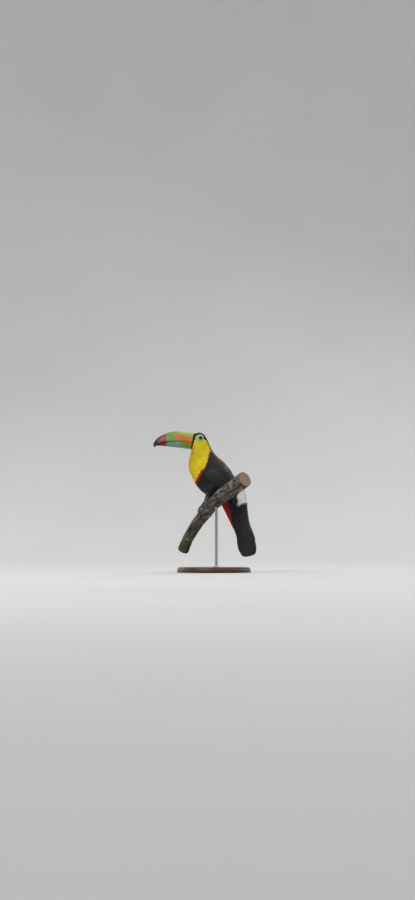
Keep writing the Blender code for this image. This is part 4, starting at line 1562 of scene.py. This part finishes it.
def stand(wood, metal):
    """The turned base, the collar where the rod leaves it, and the rod."""
    settle(lathe("turned_base", BASE_PROFILE, wood, np.zeros(3), 192), "stand_wood", "stand_base")
    low, high = (np.array(corner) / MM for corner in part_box("stand_rod"))
    rod_foot = np.array(((low[0] + high[0]) / 2, (low[1] + high[1]) / 2, 0))
    settle(lathe("rod_collar", COLLAR_PROFILE, metal, rod_foot, 64), "stand_metal")
    bottom, top, inner = low[2], high[2], ROD_RADIUS - ROD_BEVEL
    heights = (bottom + ROD_BEVEL, *np.linspace(bottom + 1, top - 1, 40), top - ROD_BEVEL)
    side = [(ROD_RADIUS, height) for height in heights]
    profile = [(0, bottom), (inner, bottom)] + side + [(inner, top), (0, top)]
    settle(lathe("steel_rod", profile, metal, rod_foot, 48), "stand_metal", "stand_rod")


FLOOR_MIDDLE = np.array((2000.0, 0, 0))
FLOOR_FLAT, FLOOR_BEND, WALL_TOP = 4200, 2800, 7000
# Where the camera is, and how far past PERCH_POINT it aims, in metres.
CAMERA_SIDE, CAMERA_HEIGHT = 5.0, 0.08
CAMERA_SHIFT, CAMERA_AIM = 0.0076, 0.1525
CAMERA_REACH, CAMERA_VIEW_HEIGHT = 5.0085, 2.745  # distance to the target, and how much height it sees
SKY, SKY_STRENGTH = (0.94, 0.97, 1, 1), 0.72
LIGHT_AIM = 0.1  # above PERCH_POINT
# Each light: name, place in metres, diameter and power.
LIGHTS = (
    ("key", (3.0, -2.4, 3.4), 1.8, 95),
    ("fill", (3.4, 2.6, 1.6), 2.4, 18),
    ("back", (-2.6, 1.8, 3.2), 2.0, 52),
    ("far_side", (-2.4, -2.4, 1.8), 2.0, 20),
    ("top", (0.3, 0.2, 4.2), 2.4, 35),
)


def aimed(thing, place, target):
    """A lamp or the camera, put in its place and pointed at the target."""
    thing.location = place
    thing.rotation_euler = (target - thing.location).to_track_quat("-Z", "Y").to_euler()
    bpy.context.scene.collection.objects.link(thing)
    return thing


def studio():
    """A pale floor that curves up into a wall all round, soft lights, and the camera."""
    bend = [
        (FLOOR_FLAT + FLOOR_BEND * math.sin(a), FLOOR_BEND * (1 - math.cos(a)))
        for a in np.linspace(0, math.pi / 2, 32)
    ]
    profile = [(r, 0) for r in (0, 400, 1500, 3000)] + bend + [(FLOOR_FLAT + FLOOR_BEND, WALL_TOP)]
    lathe("studio_floor", profile, floor_material(), FLOOR_MIDDLE, 128)
    perch = Vector(PERCH_POINT * MM)
    for name, place, size, power in LIGHTS:
        light = bpy.data.lights.new(name, "AREA")
        light.shape = "DISK"
        light.size = size
        light.energy = power
        aimed(bpy.data.objects.new(name, light), place, perch + Vector((0, 0, LIGHT_AIM)))
    world = bpy.data.worlds.new("studio")
    world.use_nodes = True
    world.node_tree.nodes["Background"].inputs["Color"].default_value = SKY
    world.node_tree.nodes["Background"].inputs["Strength"].default_value = SKY_STRENGTH
    bpy.context.scene.world = world
    bpy.context.scene.view_settings.view_transform = "Standard"

    camera = bpy.data.cameras.new("camera")
    camera.sensor_width = 36
    camera.lens = camera.sensor_width / 2 / math.tan(math.atan(CAMERA_VIEW_HEIGHT / 2 / CAMERA_REACH))
    target = perch + Vector((0, CAMERA_SHIFT, CAMERA_AIM))
    place = (perch.x + CAMERA_SIDE, target.y, CAMERA_HEIGHT)
    bpy.context.scene.camera = aimed(bpy.data.objects.new("camera", camera), place, target)


# ---- the scene ------------------------------------------------------------------------------------


MOST_DRIFT = 1.5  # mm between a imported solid's box and the same surface drawn from the tables here


def check_tables():
    """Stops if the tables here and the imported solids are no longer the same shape."""
    for node, start, end in (("head", 0, HEAD_END), ("tail", TRUNK_END, TAIL_END)):
        points = body_surface(np.linspace(start, end, 60)[:, None], np.linspace(0, TURN, 61)) * MM
        low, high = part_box(node)
        drift = max(np.abs(points.min((0, 1)) - low).max(), np.abs(points.max((0, 1)) - high).max())
        if drift > MOST_DRIFT * MM:
            raise SystemExit(f"the {node}'s table is {drift / MM:.1f} mm off the packed solid")


def main():
    """Builds the looks on the loaded frame."""
    check_tables()
    plain = feather_material("plumage_soft", 0.75, 0.45, Specular_IOR_Level=0.15)
    gloss = feather_material("plumage_satin", 0.5, 0.42, Specular_IOR_Level=0.22)
    remiges = feather_material("flight_satin", 0.4, 0.42, Specular_IOR_Level=0.3)
    bill, eyes, horn = bill_material(), eye_material(), claw_material()
    skin((skin_material(), bare_skin_material(), leg_material()))
    coat(plain, gloss)
    tail(remiges)
    bill_half("upper_bill", BILL_UPPER, BILL_ARCH, bill)
    bill_half("lower_bill", BILL_LOWER, KEEL_ARCH, bill, lower=True)
    for name, side in SIDES:
        wing(name, side, remiges)
        thigh_feathers(name, gloss)
        eye(name, side, eyes)
        for toe in TOES:
            claw(name, side, toe, horn)
    branch(bark_material(), sawn_material())
    stand(wood_material(), metal_material())
    studio()


for leftover in list(bpy.data.objects):
    bpy.data.objects.remove(leftover)
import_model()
main()
